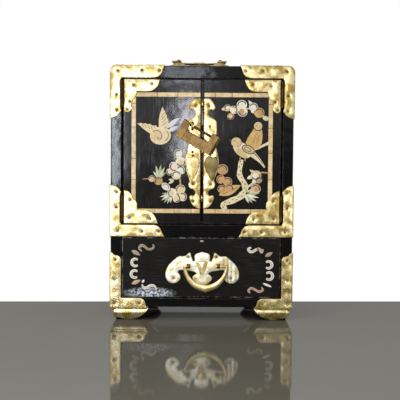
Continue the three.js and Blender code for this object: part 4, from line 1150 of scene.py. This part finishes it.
def rear_bird(mesh):
    """The upright one: a golden back, a round head with a collar, and two lines down its back."""
    tile(mesh, [(61.5, 231), (70.5, 231), (72, 222), (71, 213), (67, 206.5), (58, 205), (51.5, 213.5),
                (54.5, 220), (58.5, 226)], GOLD, 0.1, 0.5)
    tile(mesh, oval(66.4, 233.4, 10, 10), GOLD_PALE, 0.3, 0.5)
    engraved(mesh, [(61, 231.4), (64, 228.4), (68.6, 228.2), (71, 230)], 1.1, 0.38)
    tile(mesh, oval(64.8, 234, 1.3, 1.3), INK, 0.36, 0.1)
    engraved(mesh, [(60, 212.6), (62.4, 218.6), (64.4, 224.4)], 0.5, 0.16)
    engraved(mesh, [(64.4, 211.4), (66.6, 217.4), (68, 223)], 0.5, 0.16)


def front_bird(mesh):
    """The one with a long tail: tail, breast, head with beak and eye, folded wing, legs."""
    tail = [(56, 203.5), (63, 197.4), (70, 190.6), (74.6, 184)]
    tile(mesh, ribbon(tail, [8.6, 6.4, 3.6, 1.6]), CREAM, 0.12, 0.4)
    engraved(mesh, [(59.6, 203), (66.4, 196.6), (72.6, 188.6)], 0.9, 0.2)
    tile(mesh, oval(47.8, 205, 25.5, 15.6, -38), CREAM, 0.25, 0.55)
    tile(mesh, oval(47.2, 201.4, 17, 8.4, -42), GOLD_PALE, 0.31, 0.4)
    tile(mesh, oval(40.6, 214, 12.4, 11.6), GOLD_PALE, 0.36, 0.5)
    tile(mesh, pointed(37, 215.4, 5, 2.4, 168), INK, 0.3, 0.2)
    tile(mesh, oval(38.6, 215.6, 1.5, 1.4), INK, 0.42, 0.1)
    engraved(mesh, [(41.6, 208.4), (45.4, 210.4), (46.8, 213.6)], 0.6, 0.44)
    tile(mesh, oval(55.4, 205.4, 16.5, 9.4, -24), GOLD_PALE, 0.36, 0.45)
    engraved_ring(mesh, 55.0, 205.6, 15.4, 8.6, -24, 1.0, 0.46, 1.1)
    engraved_ring(mesh, 54.2, 205.8, 8.6, 4.2, -24, 1.0, 0.46, 0.7)
    for x in (45.6, 51.6):
        tile(mesh, ribbon([(x, 196.5), (x - 0.6, 191.5)], [1.4, 1.2], 3), TAN, 0.1, 0.2)


def perched_birds():
    """Two golden birds on a branch at the right."""
    mesh = new_mesh()
    tile(mesh, ribbon([(59, 205), (66, 206.8), (73, 210.4), (80, 213.6)], [2.4, 2.6, 3.4]), BARK, 0.05)
    rear_bird(mesh)
    front_bird(mesh)
    picture(mesh, "right_perched_birds", "right_door", ["right_bird_inlay"])


def old_trunk():
    """The gnarled trunk that the birds stand on, with short cuts along its bark."""
    mesh = new_mesh()
    line = [(47, 193.5), (45.6, 186), (45, 174.6), (50.4, 165), (51.6, 156.4), (45.4, 149), (36.6, 144.6),
            (26, 140), (28.4, 134)]
    knobbly = [4.4, 6.0, 4.8, 6.8, 5.6, 7.6, 6.2, 8.6, 6.4, 8.0, 5.6, 7.0, 4.6]
    tile(mesh, ribbon(line, knobbly, 44), BARK, 0.0, 0.5)
    for k in range(19):
        spot, way = on_line(line, 0.04 + k * 0.05)
        side = Vector((-way.y, way.x)) * (1.5 if k % 2 else -1.3)
        engraved(mesh, [spot + side - way * 0.9, spot + side * 0.4, spot + side + way * 1.1], 0.8, 0.08)
    tile(mesh, ribbon([(51, 160), (57, 162.4), (63, 168), (66, 175)], [3.2, 2.4, 1.6]), BARK, 0.04)
    picture(mesh, "right_trunk", "right_door", ())


def low_blossoms():
    """Tan blossoms and a large leaf to the left of the trunk, rose ones and spiky leaves to its right."""
    mesh = new_mesh()
    tile(mesh, pointed(20.6, 150.8, 29, 11, 25, 0.45, 9), GOLD, 0.02, 0.4)
    engraved(mesh, [(24, 152.4), (33, 155), (43, 161)], 0.6, 0.1)
    rosebuds(mesh, [
        (24.6, 181.6, 6.6, ORANGE, 0.14, 350, TAN),
        (22.4, 169.8, 5.3, ORANGE, 0.2, 60),
        (30.6, 167.0, 5.8, ORANGE, 0.28, 320, TAN),
        (32.8, 159.2, 5.4, ORANGE, 0.22, 330),
        (23.6, 158.4, 5.0, TAN, 0.16, 20, ORANGE),
        (64.4, 174.6, 6.4, PEACH, 0.14, 200, PEARL),
        (67.6, 169.2, 4.2, ROSE, 0.26, 20),
        (64.4, 158.8, 5.9, PEACH, 0.14, 330, ROSE),
    ])
    tile(mesh, pointed(53.6, 170.6, 9.6, 4.4, 26), PEARL, 0.06, 0.3)
    tile(mesh, pointed(64, 177, 8.6, 3.6, 150), CREAM, 0.06, 0.3)
    tile(mesh, oval(62.8, 167.6, 6.4, 5.2, 30), PEARL, 0.24)
    tile(mesh, ribbon([(70, 178.4), (75, 178), (81, 177.4)], [1.8, 1.6, 1.0]), ORANGE, 0.04, 0.2)
    spikes = [(24, 17, 3.2), (6, 17.5, 3.2), (-12, 17, 3.4), (-30, 16, 3.4), (-48, 13.5, 3.2), (-66, 11, 3),
              (42, 11, 3)]
    leaf_fan(mesh, 51.6, 151.6, spikes, [PALE_LEAF, GREEN_LEAF, PEARL])
    picture(mesh, "right_low_blossoms", "right_door", ())


for draw_picture in [
        flying_bird, left_sprig, left_blossoms, upper_spray, perched_birds, old_trunk, low_blossoms]:
    draw_picture()

# Padlock. A Chinese sliding-bolt lock of old cast brass: the case is the barrel with the right upright,
# and the bolt is the left upright with the rod that passes through the staple.
OLD_BRASS = sheet_brass("old brass", seen(150, 122, 80), seen(124, 98, 60), seen(44, 30, 16), 0.5, 0.00003)
LOCK_TILT = 29.5
LOCK_HALF = 4.5
LOCK_LOW = -20
LOCK_HIGH = 2.4
LOCK_LEFT = -12.3
LOCK_RIGHT = 36.5
LOCK_INNER = -3.8
BARREL_HEIGHT = 12.2
CASE_END = 11.5
CASE_END_RISE = 2
END_SLAB = 2.6
SHACKLE_RADIUS = 1.4
SPRING_HALF = (1.8, 2.2)
SHANK_RADIUS = 1.7
STAPLE = Vector((-11.4, -7.3, 233))
EYE_STEPS = 28
EYE_DEPTH = 4.05
EYE_HEIGHT = 5.05


def hang(mesh):
    """Tilts the padlock about the staple. It is drawn with x along the lock and the rod at the middle."""
    turn = Matrix.Rotation(math.radians(LOCK_TILT), 4, "Y")
    bmesh.ops.transform(mesh, matrix=Matrix.Translation(STAPLE) @ turn, verts=mesh.verts)


def round_bar(mesh, start, end, radius, segments=20, edge=0.25):
    """A rod between two points, with its ends softened."""
    start, end = Vector(start), Vector(end)
    length = (end - start).length
    before = set(mesh.verts)
    made = bmesh.ops.create_cone(
        mesh, cap_ends=True, segments=segments, radius1=radius, radius2=radius, depth=length)["verts"]
    around = {e for v in made for e in v.link_edges}
    rims = [e for e in around if abs(e.verts[0].co.z - e.verts[1].co.z) < 1e-6]
    rounded(mesh, rims, edge, 2)
    made = [v for v in mesh.verts if v not in before]
    turn = (end - start).to_track_quat("Z", "X").to_matrix().to_4x4()
    bmesh.ops.transform(mesh, matrix=Matrix.Translation((start + end) / 2) @ turn, verts=made)
    return made


def padlock_case():
    mesh = new_mesh()
    bar(mesh, (LOCK_INNER + 0.25, -LOCK_HALF, LOCK_LOW),
        (LOCK_RIGHT - CASE_END + 0.6, LOCK_HALF, LOCK_LOW + BARREL_HEIGHT), 0.4, 3)
    bar(mesh, (LOCK_RIGHT - CASE_END, -LOCK_HALF + 0.05, LOCK_LOW + 0.05),
        (LOCK_RIGHT - END_SLAB, LOCK_HALF - 0.05, LOCK_HIGH + CASE_END_RISE), 0.7, 3)
    end_slab = bar(mesh, (LOCK_RIGHT - END_SLAB - 0.1, -LOCK_HALF + 0.5, LOCK_LOW + 0.2),
                   (LOCK_RIGHT, LOCK_HALF - 0.5, LOCK_HIGH + CASE_END_RISE - 0.2), 0.7, 2)
    darkened_by_stain_and_shade(mesh, end_slab)
    hang(mesh)
    dress(mesh, "padlock_case_cast", OLD_BRASS, "padlock_case", ["padlock_case"])


def padlock_bolt():
    mesh = new_mesh()
    bar(mesh, (LOCK_LEFT, -LOCK_HALF, LOCK_LOW), (LOCK_INNER + 0.2, LOCK_HALF, LOCK_HIGH), 0.5, 3)
    darkened_by_stain_and_shade(mesh, round_bar(mesh, (LOCK_INNER - 1, 0, 0), (LOCK_RIGHT - 4, 0, 0), SHACKLE_RADIUS))
    half, rise = SPRING_HALF
    middle = LOCK_LOW + BARREL_HEIGHT / 2
    bar(mesh, (LOCK_INNER - 1, -half, middle - rise), (LOCK_RIGHT - 9, half, middle + rise), 0.3)
    hang(mesh)
    dress(mesh, "padlock_bolt_cast", OLD_BRASS, "padlock_bolt", ["padlock_bolt"])


def swept(mesh, placings, segments, closed=False):
    """A bar through a row of placings of a circle. Its ends meet, or are flat. Returns the circles."""
    circles, loops = [], []
    for placing in placings:
        circle = bmesh.ops.create_circle(mesh, segments=segments, radius=1)["verts"]
        bmesh.ops.transform(mesh, matrix=placing, verts=circle)
        circles.append(circle)
        loops.append(list({e for v in circle for e in v.link_edges}))
    for one, other in zip(loops, loops[1:] + (loops[:1] if closed else [])):
        bmesh.ops.bridge_loops(mesh, edges=one + other)
    if not closed:
        for end in (loops[0], loops[-1]):
            bmesh.ops.contextual_create(mesh, geom=end)
    return circles


def staple():
    """The upright eye on a shank that the padlock hangs from."""
    mesh = new_mesh()
    squeeze = Matrix.Diagonal((1.55, 1.15, 1, 1))
    stand = Matrix.Rotation(math.radians(90), 4, "X")
    placings = []
    for i in range(EYE_STEPS):
        angle = 2 * math.pi * i / EYE_STEPS
        tip = Matrix.Rotation(angle, 4, "X")
        middle = Vector((0, EYE_DEPTH * math.cos(angle), EYE_HEIGHT * math.sin(angle)))
        placings.append(Matrix.Translation(STAPLE + middle) @ tip @ stand @ squeeze)
    swept(mesh, placings, 10, closed=True)
    back_of_eye = STAPLE + Vector((0, 4.4, 0))
    round_bar(mesh, back_of_eye, (STAPLE.x, SHEET_FRONT - 0.1, STAPLE.z), SHANK_RADIUS)
    dress(mesh, "left_staple_eye", SHEET_BRASS_LIT_AND_SHADED["left"], "left_door", ["left_staple"])


padlock_case()
padlock_bolt()
staple()

# Wide drawer. A lacquered front with a column of pale scroll inlays at each end and a small oval at the
# middle of its upper edge. Its rims carry a painted pale highlight, and scratches at the lower left are
# painted pale with their glare.
# A pale edge colour: painted highlight on the drawer's rounded rims.
DRAWER_EDGE_HIGHLIGHT = (0.34, 0.32, 0.29, 1)
# Oval patch of scratches painted with their glare: centre and reach in millimetres.
DRAWER_SCRATCH_GLARE = ((-62, 33), (34, 7.5))
DRAWER_LACQUER = lacquer(
    "black lacquer, drawer front", (0.08, 1, 1), (DOOR_BLACK, DOOR_RUBBED, DRAWER_EDGE_HIGHLIGHT), 0.7, 0.00014, 0.14,
    0.2, DRAWER_SCRATCH_GLARE)
SHELL_WHITE = seen(244, 236, 220)
SHELL_PINK = seen(196, 160, 134)
SHELL_DULL = seen(168, 146, 120)


def drawer_tile(mesh, outline, colour):
    tile(mesh, outline, colour, 0.0, 0.22)


def scroll(mesh, points, widths, colour, grooved=True):
    """An S-shaped scroll, with a groove along its middle."""
    drawer_tile(mesh, ribbon(points, widths, 18), colour)
    if grooved:
        line = [on_line(points, 0.08 + 0.84 * k / 10)[0] for k in range(11)]
        engraved(mesh, line, 0.42, 0.06)


def crook(mesh, x, z, radius, start, end, colour):
    """A C-shaped scroll with a thick back."""
    points = arc(x, z, radius, start, end, 8)
    drawer_tile(mesh, ribbon(points, [2.4, 3.2, 3.6, 3.2, 2.4], 20), colour)
    engraved(mesh, arc(x, z, radius - 0.1, start + 14, end - 14, 10), 0.5, 0.06)


def left_scrolls():
    """The column at the left end, of shell that differs from piece to piece."""
    mesh = new_mesh()
    scroll(mesh, [(-71, 82.8), (-74.2, 86.6), (-71.4, 90.2), (-67.6, 88.6), (-64.2, 85.8), (-60.2, 85.6),
                  (-57, 87.8), (-57.6, 91.4)], [1.4, 3.2, 3.4, 3.0, 2.8, 2.8, 2.6, 1.4], SHELL_DULL)
    drawer_tile(mesh, pointed(-83.4, 84, 12.4, 5.2, -29), SHELL_DULL)
    crook(mesh, -78.8, 69.4, 4.3, 48, 312, SHELL_WHITE)
    crook(mesh, -79.4, 55.4, 4.4, 46, 308, SHELL_WHITE)
    drawer_tile(mesh, pointed(-83.4, 43.4, 12.4, 5, 24), SHELL_PINK)
    drawer_tile(mesh, oval(-69.4, 46.8, 4.4, 2.8, 60), SHELL_WHITE)
    scroll(mesh, [(-70.8, 43), (-68.8, 39.4), (-65, 39), (-60.8, 41.6), (-56, 41), (-53.4, 37)],
           [1.4, 3.2, 3.4, 3.4, 3.2, 1.4], SHELL_WHITE)
    picture(mesh, "drawer_left_scrolls", "lower_drawer")


def right_scrolls():
    mesh = new_mesh()
    scroll(mesh, [(59.4, 88.6), (56.4, 86.6), (57.6, 83.8), (61, 83.2), (64.6, 85.4), (67.8, 87)],
           [1.6, 3.2, 3.2, 3.0, 3.0, 2.4], SHELL_WHITE)
    scroll(mesh, [(66.4, 87.2), (70, 86.2), (72, 82.8), (74, 86.4)], [2.6, 3.4, 3.4, 1.6], SHELL_PINK, False)
    drawer_tile(mesh, pointed(76.2, 77.6, 10.6, 4.8, 29), SHELL_DULL)
    crook(mesh, 80.4, 67.6, 4.2, -132, 132, SHELL_WHITE)
    crook(mesh, 81.2, 54.2, 4.4, -134, 134, SHELL_WHITE)
    drawer_tile(mesh, oval(79.2, 43.2, 11, 2.8, -22), SHELL_WHITE)
    scroll(mesh, [(58.6, 33.6), (56.8, 36.4), (60.2, 39.4), (65, 37.4), (69.6, 35.2), (73.8, 37.2),
                  (72.4, 40.8)], [1.4, 2.8, 2.8, 2.8, 2.8, 2.8, 1.4], SHELL_PINK)
    picture(mesh, "drawer_right_scrolls", "lower_drawer")


def top_pip():
    """A small oval at the middle of the upper edge."""
    mesh = new_mesh()
    tile(mesh, oval(0.6, 95.6, 4.4, 2.4), SHELL_DULL, -0.2, 0.15)
    picture(mesh, "drawer_top_pip", "lower_drawer")


board("drawer_front", DRAWER_LACQUER, "lower_drawer", 1.2)
left_scrolls()
right_scrolls()
top_pip()

# Pull of the wide drawer. A bat cut from sheet brass, with a pressed leaf in its middle, and a cast
# crescent bail that swings in two eyes.
BAT_HALF = [
    (0, 82.6), (4, 81.6), (8, 80), (9.6, 76), (8.8, 72), (10.8, 71.4), (12.6, 75.5), (14.2, 81.6),
    (16.2, 81.4), (19, 78.8), (23, 77.4), (28, 77.4), (33.3, 73.4), (39.4, 67.6), (43, 61.5), (44.2, 55),
    (42.8, 49.4), (39.4, 45.8), (34.4, 44.6), (29.6, 46.2), (26.4, 50), (26.4, 54.4), (29, 57.6),
    (28, 60.4), (22.4, 60.8), (17, 59.8), (12.4, 59.2), (8.6, 58), (7, 56.2), (9.4, 54.8), (11.6, 52),
    (10.8, 48.4), (7.8, 45.2), (3.8, 43.2), (0, 42.6),
]
BAT_NAILS = [(-16.6, 76.6), (16.6, 76.6), (-34.4, 51), (34.4, 51)]
BAT_TONGUE = [(-8, 70.6), (-4, 72), (3, 72), (6.4, 70.6), (4.4, 63), (0.6, 54.6), (-2.6, 55.6), (-4.6, 62)]
TONGUE_RIDGE = [(-4.4, 70.8), (2.6, 70.8), (0.4, 65), (-0.4, 57.6), (-1.6, 64)]
CAST_BRASS = sheet_brass("cast brass", seen(240, 222, 170), seen(208, 180, 114), BRASS_STAIN_AND_SHADE, 0.3, 0.00008)
DARK_BRASS = sheet_brass("dark brass", seen(128, 92, 50), seen(84, 58, 28), seen(36, 24, 12), 0.35)
PALE_BRASS = sheet_brass("pale sheet brass", seen(252, 248, 226), seen(228, 210, 150), BRASS_STAIN_AND_SHADE, 0.34)
PULL_Z = 66
PULL_Y = -5.4
PULL_POSTS = (-15.2, 20.4)
PULL_PLATE_X = 1.3
PULL_X = 5.2
PULL_HALF_WIDTH = 26.8
PULL_DROP = 30.3
PULL_WIDTHS = (3.4, 8.0)
PULL_POINT = 1.4
PAST_EYE = 3.4
PIN_RADIUS = 1.2
PIN_START = 0.9
BAIL_DEPTH = 3.0
BAIL_STEPS = 40


def bat_plate():
    """The bat: painted shade in stripes stands for the ridges of its folded right wing; its body and the two
    dimples under it carry stain.
    """
    mesh = new_mesh()
    left = [(-x, z) for x, z in BAT_HALF[1:-1]][::-1]
    hammered_sheet(mesh, BAT_HALF + left, BAT_NAILS, pillow=0.3)
    stain_and_shade_mark = mesh.verts.layers.float["stain_and_shade_mark"]
    for v in mesh.verts:
        x, z = v.co.x, v.co.z
        # Painted shade: dark stripes over the right wing for folds that the sheet does not have.
        fold_shade = (0.4 + 0.25 * math.sin(x * 1.3)) * min(max((x - 20) / 4, 0), 1)
        body = 0.3 * math.exp(-((x - 3) / 11) ** 2 - ((z - 58) / 8) ** 2)
        dimple = 0.75 * math.exp(-(((abs(x + 0.5) - 7.5) / 3) ** 2) - ((z - 51) / 2.4) ** 2)
        v[stain_and_shade_mark] = max(v[stain_and_shade_mark], fold_shade, body, dimple)
    placed(mesh, PULL_PLATE_X, 0)
    dress(mesh, "drawer_bat_plate", PALE_BRASS, "lower_drawer", ["drawer_pull_plate"])


def bat_leaf():
    mesh = new_mesh()
    slab(mesh, bent_line(BAT_TONGUE), SHEET_FRONT - 0.9, 1.2, 0.6, 3)
    darkened_by_stain_and_shade(mesh, mesh.verts, 0.55)
    slab(mesh, bent_line(TONGUE_RIDGE), SHEET_FRONT - 1.3, 0.8, 0.3)
    placed(mesh, PULL_PLATE_X, 0)
    dress(mesh, "drawer_bat_leaf", CAST_BRASS, "lower_drawer")


def swept_bail(mesh, half_width, drop, pins, widths, point=0.0):
    """A crescent bail in x and z: an oval section that swells to the middle, with its ends turned in."""
    placings = []
    for i in range(BAIL_STEPS + 1):
        t = i / BAIL_STEPS
        angle = math.pi * (1 + t)
        width = widths[0] + (widths[1] - widths[0]) * math.sin(math.pi * t) ** 1.4
        rx, rz = half_width - width / 2, drop - width / 2
        middle = Vector((rx * math.cos(angle), 0, rz * math.sin(angle)))
        along = Vector((-rx * math.sin(angle), 0, rz * math.cos(angle))).normalized()
        tip = max(0.0, 1 - abs(t - 0.5) * 16) * point
        middle.z -= tip / 2
        across = Vector((0, 1, 0)).cross(along) * (width + tip) / 2
        section = Matrix((across, Vector((0, BAIL_DEPTH / 2, 0)), along)).transposed().to_4x4()
        placings.append(Matrix.Translation(middle) @ section)
    for circle in swept(mesh, placings, 12):
        darkened_by_stain_and_shade(mesh, [min(circle, key=lambda v: v.co.y)], 0.4)
    left_pin, right_pin = pins
    round_bar(mesh, (left_pin, 0, 0), (PIN_START - half_width, 0, 0), PIN_RADIUS, 14, 0.3)
    round_bar(mesh, (right_pin, 0, 0), (half_width - PIN_START, 0, 0), PIN_RADIUS, 14, 0.3)


def eye_post(mesh, x, y, z, standoff, radius):
    """A stem from the plate to a drum that the pin of the bail turns in."""
    round_bar(mesh, (x, y + standoff, z), (x, y, z), radius * 0.7)
    round_bar(mesh, (x - 2.1, y, z), (x + 2.1, y, z), radius, 20, 0.5)


def drawer_bail():
    mesh = new_mesh()
    pins = (PULL_POSTS[0] - PULL_X + PAST_EYE, PULL_POSTS[1] - PULL_X - PAST_EYE)
    swept_bail(mesh, PULL_HALF_WIDTH, PULL_DROP, pins, PULL_WIDTHS, PULL_POINT)
    placed(mesh, PULL_X, PULL_Z)
    bmesh.ops.translate(mesh, vec=(0, PULL_Y, 0), verts=mesh.verts)
    dress(mesh, "drawer_bail_cast", CAST_BRASS, "drawer_pull_bail", ["drawer_pull_bail"])


bat_plate()
bat_leaf()
for (side, sign), x in zip(SIDES, PULL_POSTS):
    mesh = new_mesh()
    eye_post(mesh, x, PULL_Y, PULL_Z, 4.3, 2.8)
    dress(mesh, f"drawer_{side}_eye", DARK_BRASS, "lower_drawer", [f"drawer_{side}_post"])
drawer_bail()

# Inside the wide drawer and behind the doors: plain boxes of thin boards. The case and the drawers are
# lined with dark red satin lacquer; each small drawer has a turned brass knob, screwed in.
RED = seen(92, 22, 20)
RED_RUBBED = seen(124, 44, 34)
RED_WORN = seen(70, 30, 20)
RED_LACQUER = lacquer("dark red satin lacquer", (0.1, 1, 1), (RED, RED_RUBBED, RED_WORN), 0.8, 0.0002, 0.42)
TRAY_WALL = 5
TRAY_FLOOR = 4
DRAWER_FLOOR = 3
LINING = 0.4
SLACK = 0.02
CASE_WALL = 14.4
CASE_SHELF = 3
LEVELS = ["upper", "middle", "lower"]
KNOB = [
    (0, 0), (3.4, 0), (3.4, 0.5), (3.1, 0.8), (1.9, 1.2), (1.6, 2), (1.7, 3), (2.8, 3.6), (3.9, 4.3),
    (4.2, 4.9), (4.1, 5.5), (3.2, 6.1), (1.8, 6.4), (0, 6.5),
]


def open_box(mesh, low, high, wall, floor, edge=0.5):
    """A box without a lid, with rounded edges."""
    low, high = Vector(low), Vector(high)
    bar(mesh, low, high)
    lid = max(mesh.faces, key=lambda f: f.calc_center_median().z)
    bmesh.ops.inset_region(mesh, faces=[lid], thickness=wall, use_even_offset=True)
    grown = bmesh.ops.extrude_face_region(mesh, geom=[lid])
    bmesh.ops.delete(mesh, geom=[lid], context="FACES_ONLY")
    sunk = [v for v in grown["geom"] if isinstance(v, bmesh.types.BMVert)]
    bmesh.ops.translate(mesh, vec=(0, 0, floor - (high.z - low.z)), verts=sunk)
    if edge:
        rounded(mesh, list(mesh.edges), edge, 2)


def drawer_case():
    mesh = new_mesh()
    low, high = corners("inner_drawer_case")
    bar(mesh, low, (low.x + CASE_WALL, high.y, high.z), 0.6, 2)
    bar(mesh, (high.x - CASE_WALL, low.y, low.z), high, 0.6, 2)
    inside_left, inside_right = low.x + CASE_WALL + SLACK, high.x - CASE_WALL - SLACK
    pitch = (high.z - low.z - CASE_SHELF) / len(LEVELS)
    for k in range(len(LEVELS) + 1):
        z = low.z + pitch * k
        bar(mesh, (inside_left, low.y, z), (inside_right, high.y - 4.1, z + CASE_SHELF), 0.5, 2)
    bar(mesh, (inside_left, high.y - 4, low.z), (inside_right, high.y, high.z))
    dress(mesh, "inner_case_lined", RED_LACQUER, "root", ["inner_drawer_case"])


def turned(mesh, profile):
    """A round piece from its profile: radius and height, from the foot to the middle of the top."""
    before = set(mesh.verts)
    row = [mesh.verts.new((r, 0, h)) for r, h in profile]
    edges = [mesh.edges.new(pair) for pair in zip(row, row[1:])]
    bmesh.ops.spin(
        mesh, geom=[*row, *edges], cent=(0, 0, 0), axis=(0, 0, 1), dvec=(0, 0, 0), angle=2 * math.pi,
        steps=28, use_merge=True)
    made = [v for v in mesh.verts if v not in before]
    bmesh.ops.remove_doubles(mesh, verts=made, dist=1e-4)
    return [v for v in mesh.verts if v not in before]


def knob(level):
    low, high = corners(f"{level}_inner_knob")
    mesh = new_mesh()
    turned(mesh, KNOB)
    middle = (low + high) / 2
    face_forward = Matrix.Rotation(math.radians(90), 4, "X")
    move = Matrix.Translation((middle.x, high.y, middle.z))
    bmesh.ops.transform(mesh, matrix=move @ face_forward, verts=mesh.verts)
    dress(mesh, f"{level}_turned_knob", CAST_BRASS, f"{level}_inner_drawer", [f"{level}_inner_knob"])


def small_drawer(level):
    body = f"{level}_inner_drawer"
    low, high = corners(body)
    mesh = new_mesh()
    open_box(mesh, low, high, TRAY_WALL, DRAWER_FLOOR)
    dress(mesh, body + "_lacquered", LACQUER_LEVEL, body, [body])
    mesh = new_mesh()
    inset = Vector((TRAY_WALL + SLACK, TRAY_WALL + SLACK, DRAWER_FLOOR + SLACK))
    rim = Vector((TRAY_WALL + SLACK, TRAY_WALL + SLACK, 1.2))
    open_box(mesh, low + inset, high - rim, LINING, LINING, 0)
    dress(mesh, f"{level}_inner_lining", RED_LACQUER, body)


tray = new_mesh()
open_box(tray, *corners("drawer_tray"), TRAY_WALL, TRAY_FLOOR)
dress(tray, "drawer_tray_lined", RED_LACQUER, "lower_drawer", ["drawer_tray"])
drawer_case()
for level in LEVELS:
    small_drawer(level)
    knob(level)

# Carrying handle. A shaped plate with a domed rosette and an eye at each end, and a cast bail with a
# swollen grip, which lies back on the top board.
HANDLE_BRASS = sheet_brass("handle brass", seen(176, 156, 104), seen(116, 92, 50), seen(44, 30, 14), 0.35)
HANDLE_PLACE = Matrix.Translation((-4, CARCASS_DEPTH / 2, CARCASS_TOP))
HANDLE_POSTS = 25.5
HANDLE_HEIGHT = 5.6
HANDLE_REST = 6.5
HANDLE_HALF_WIDTH = 34
HANDLE_REACH = 30
HANDLE_WIDTHS = (3.4, 6.4)
HANDLE_NAILS = (-11, 0, 11)
GRIP_HALF = 7
GRIP_RADIUS = 2.4
HANDLE_PLATE = [(0, -6), (8, -5), (14, -4), (18, -6), (26, -8.5), (34, -6.5), (37, 0)]
ROSETTE = [
    (0, 0), (10.5, 0), (10.4, 0.8), (9.7, 1.5), (8.8, 1.7), (8.1, 1.4), (7.6, 1.8), (6.8, 2.8), (5.6, 3.7),
    (4.2, 4.2), (0, 4.2),
]


def handle_base():
    mesh = new_mesh()
    right = HANDLE_PLATE + [(x, -y) for x, y in HANDLE_PLATE[-2::-1]]
    left = [(-x, y) for x, y in right[-2:0:-1]]
    slab(mesh, bent_line(right + left), SHEET_FRONT, SHEET_THICKNESS, SHEET_EDGE)
    lie_down = Matrix.Rotation(math.radians(90), 4, "X")
    for x in (-HANDLE_POSTS, HANDLE_POSTS):
        dome = turned(mesh, ROSETTE)
        bmesh.ops.transform(mesh, matrix=Matrix.Translation((x, -0.1, 0)) @ lie_down, verts=dome)
        eye_post(mesh, x, -HANDLE_HEIGHT, 0, HANDLE_HEIGHT - 0.5, 2.5)
    for x in HANDLE_NAILS:
        front_nail(mesh, x, SHEET_FRONT, 0)
    stand_up = Matrix.Rotation(math.radians(-90), 4, "X")
    bmesh.ops.transform(mesh, matrix=HANDLE_PLACE @ stand_up, verts=mesh.verts)
    dress(mesh, "top_handle_base", HANDLE_BRASS, "root", ["top_handle_plate"])


def handle_bail():
    mesh = new_mesh()
    pin = HANDLE_POSTS - PAST_EYE
    swept_bail(mesh, HANDLE_HALF_WIDTH, HANDLE_REACH, (-pin, pin), HANDLE_WIDTHS)
    grip = HANDLE_WIDTHS[1] / 2 - HANDLE_REACH
    round_bar(mesh, (-GRIP_HALF, 0, grip), (GRIP_HALF, 0, grip), GRIP_RADIUS, 20, 0.8)
    lift = Matrix.Translation((0, 0, HANDLE_HEIGHT))
    lie_back = Matrix.Rotation(math.radians(90 - HANDLE_REST), 4, "X")
    bmesh.ops.transform(mesh, matrix=HANDLE_PLACE @ lift @ lie_back, verts=mesh.verts)
    dress(mesh, "top_handle_bail_cast", HANDLE_BRASS, "top_handle_bail", ["top_handle_bail"])


handle_base()
handle_bail()
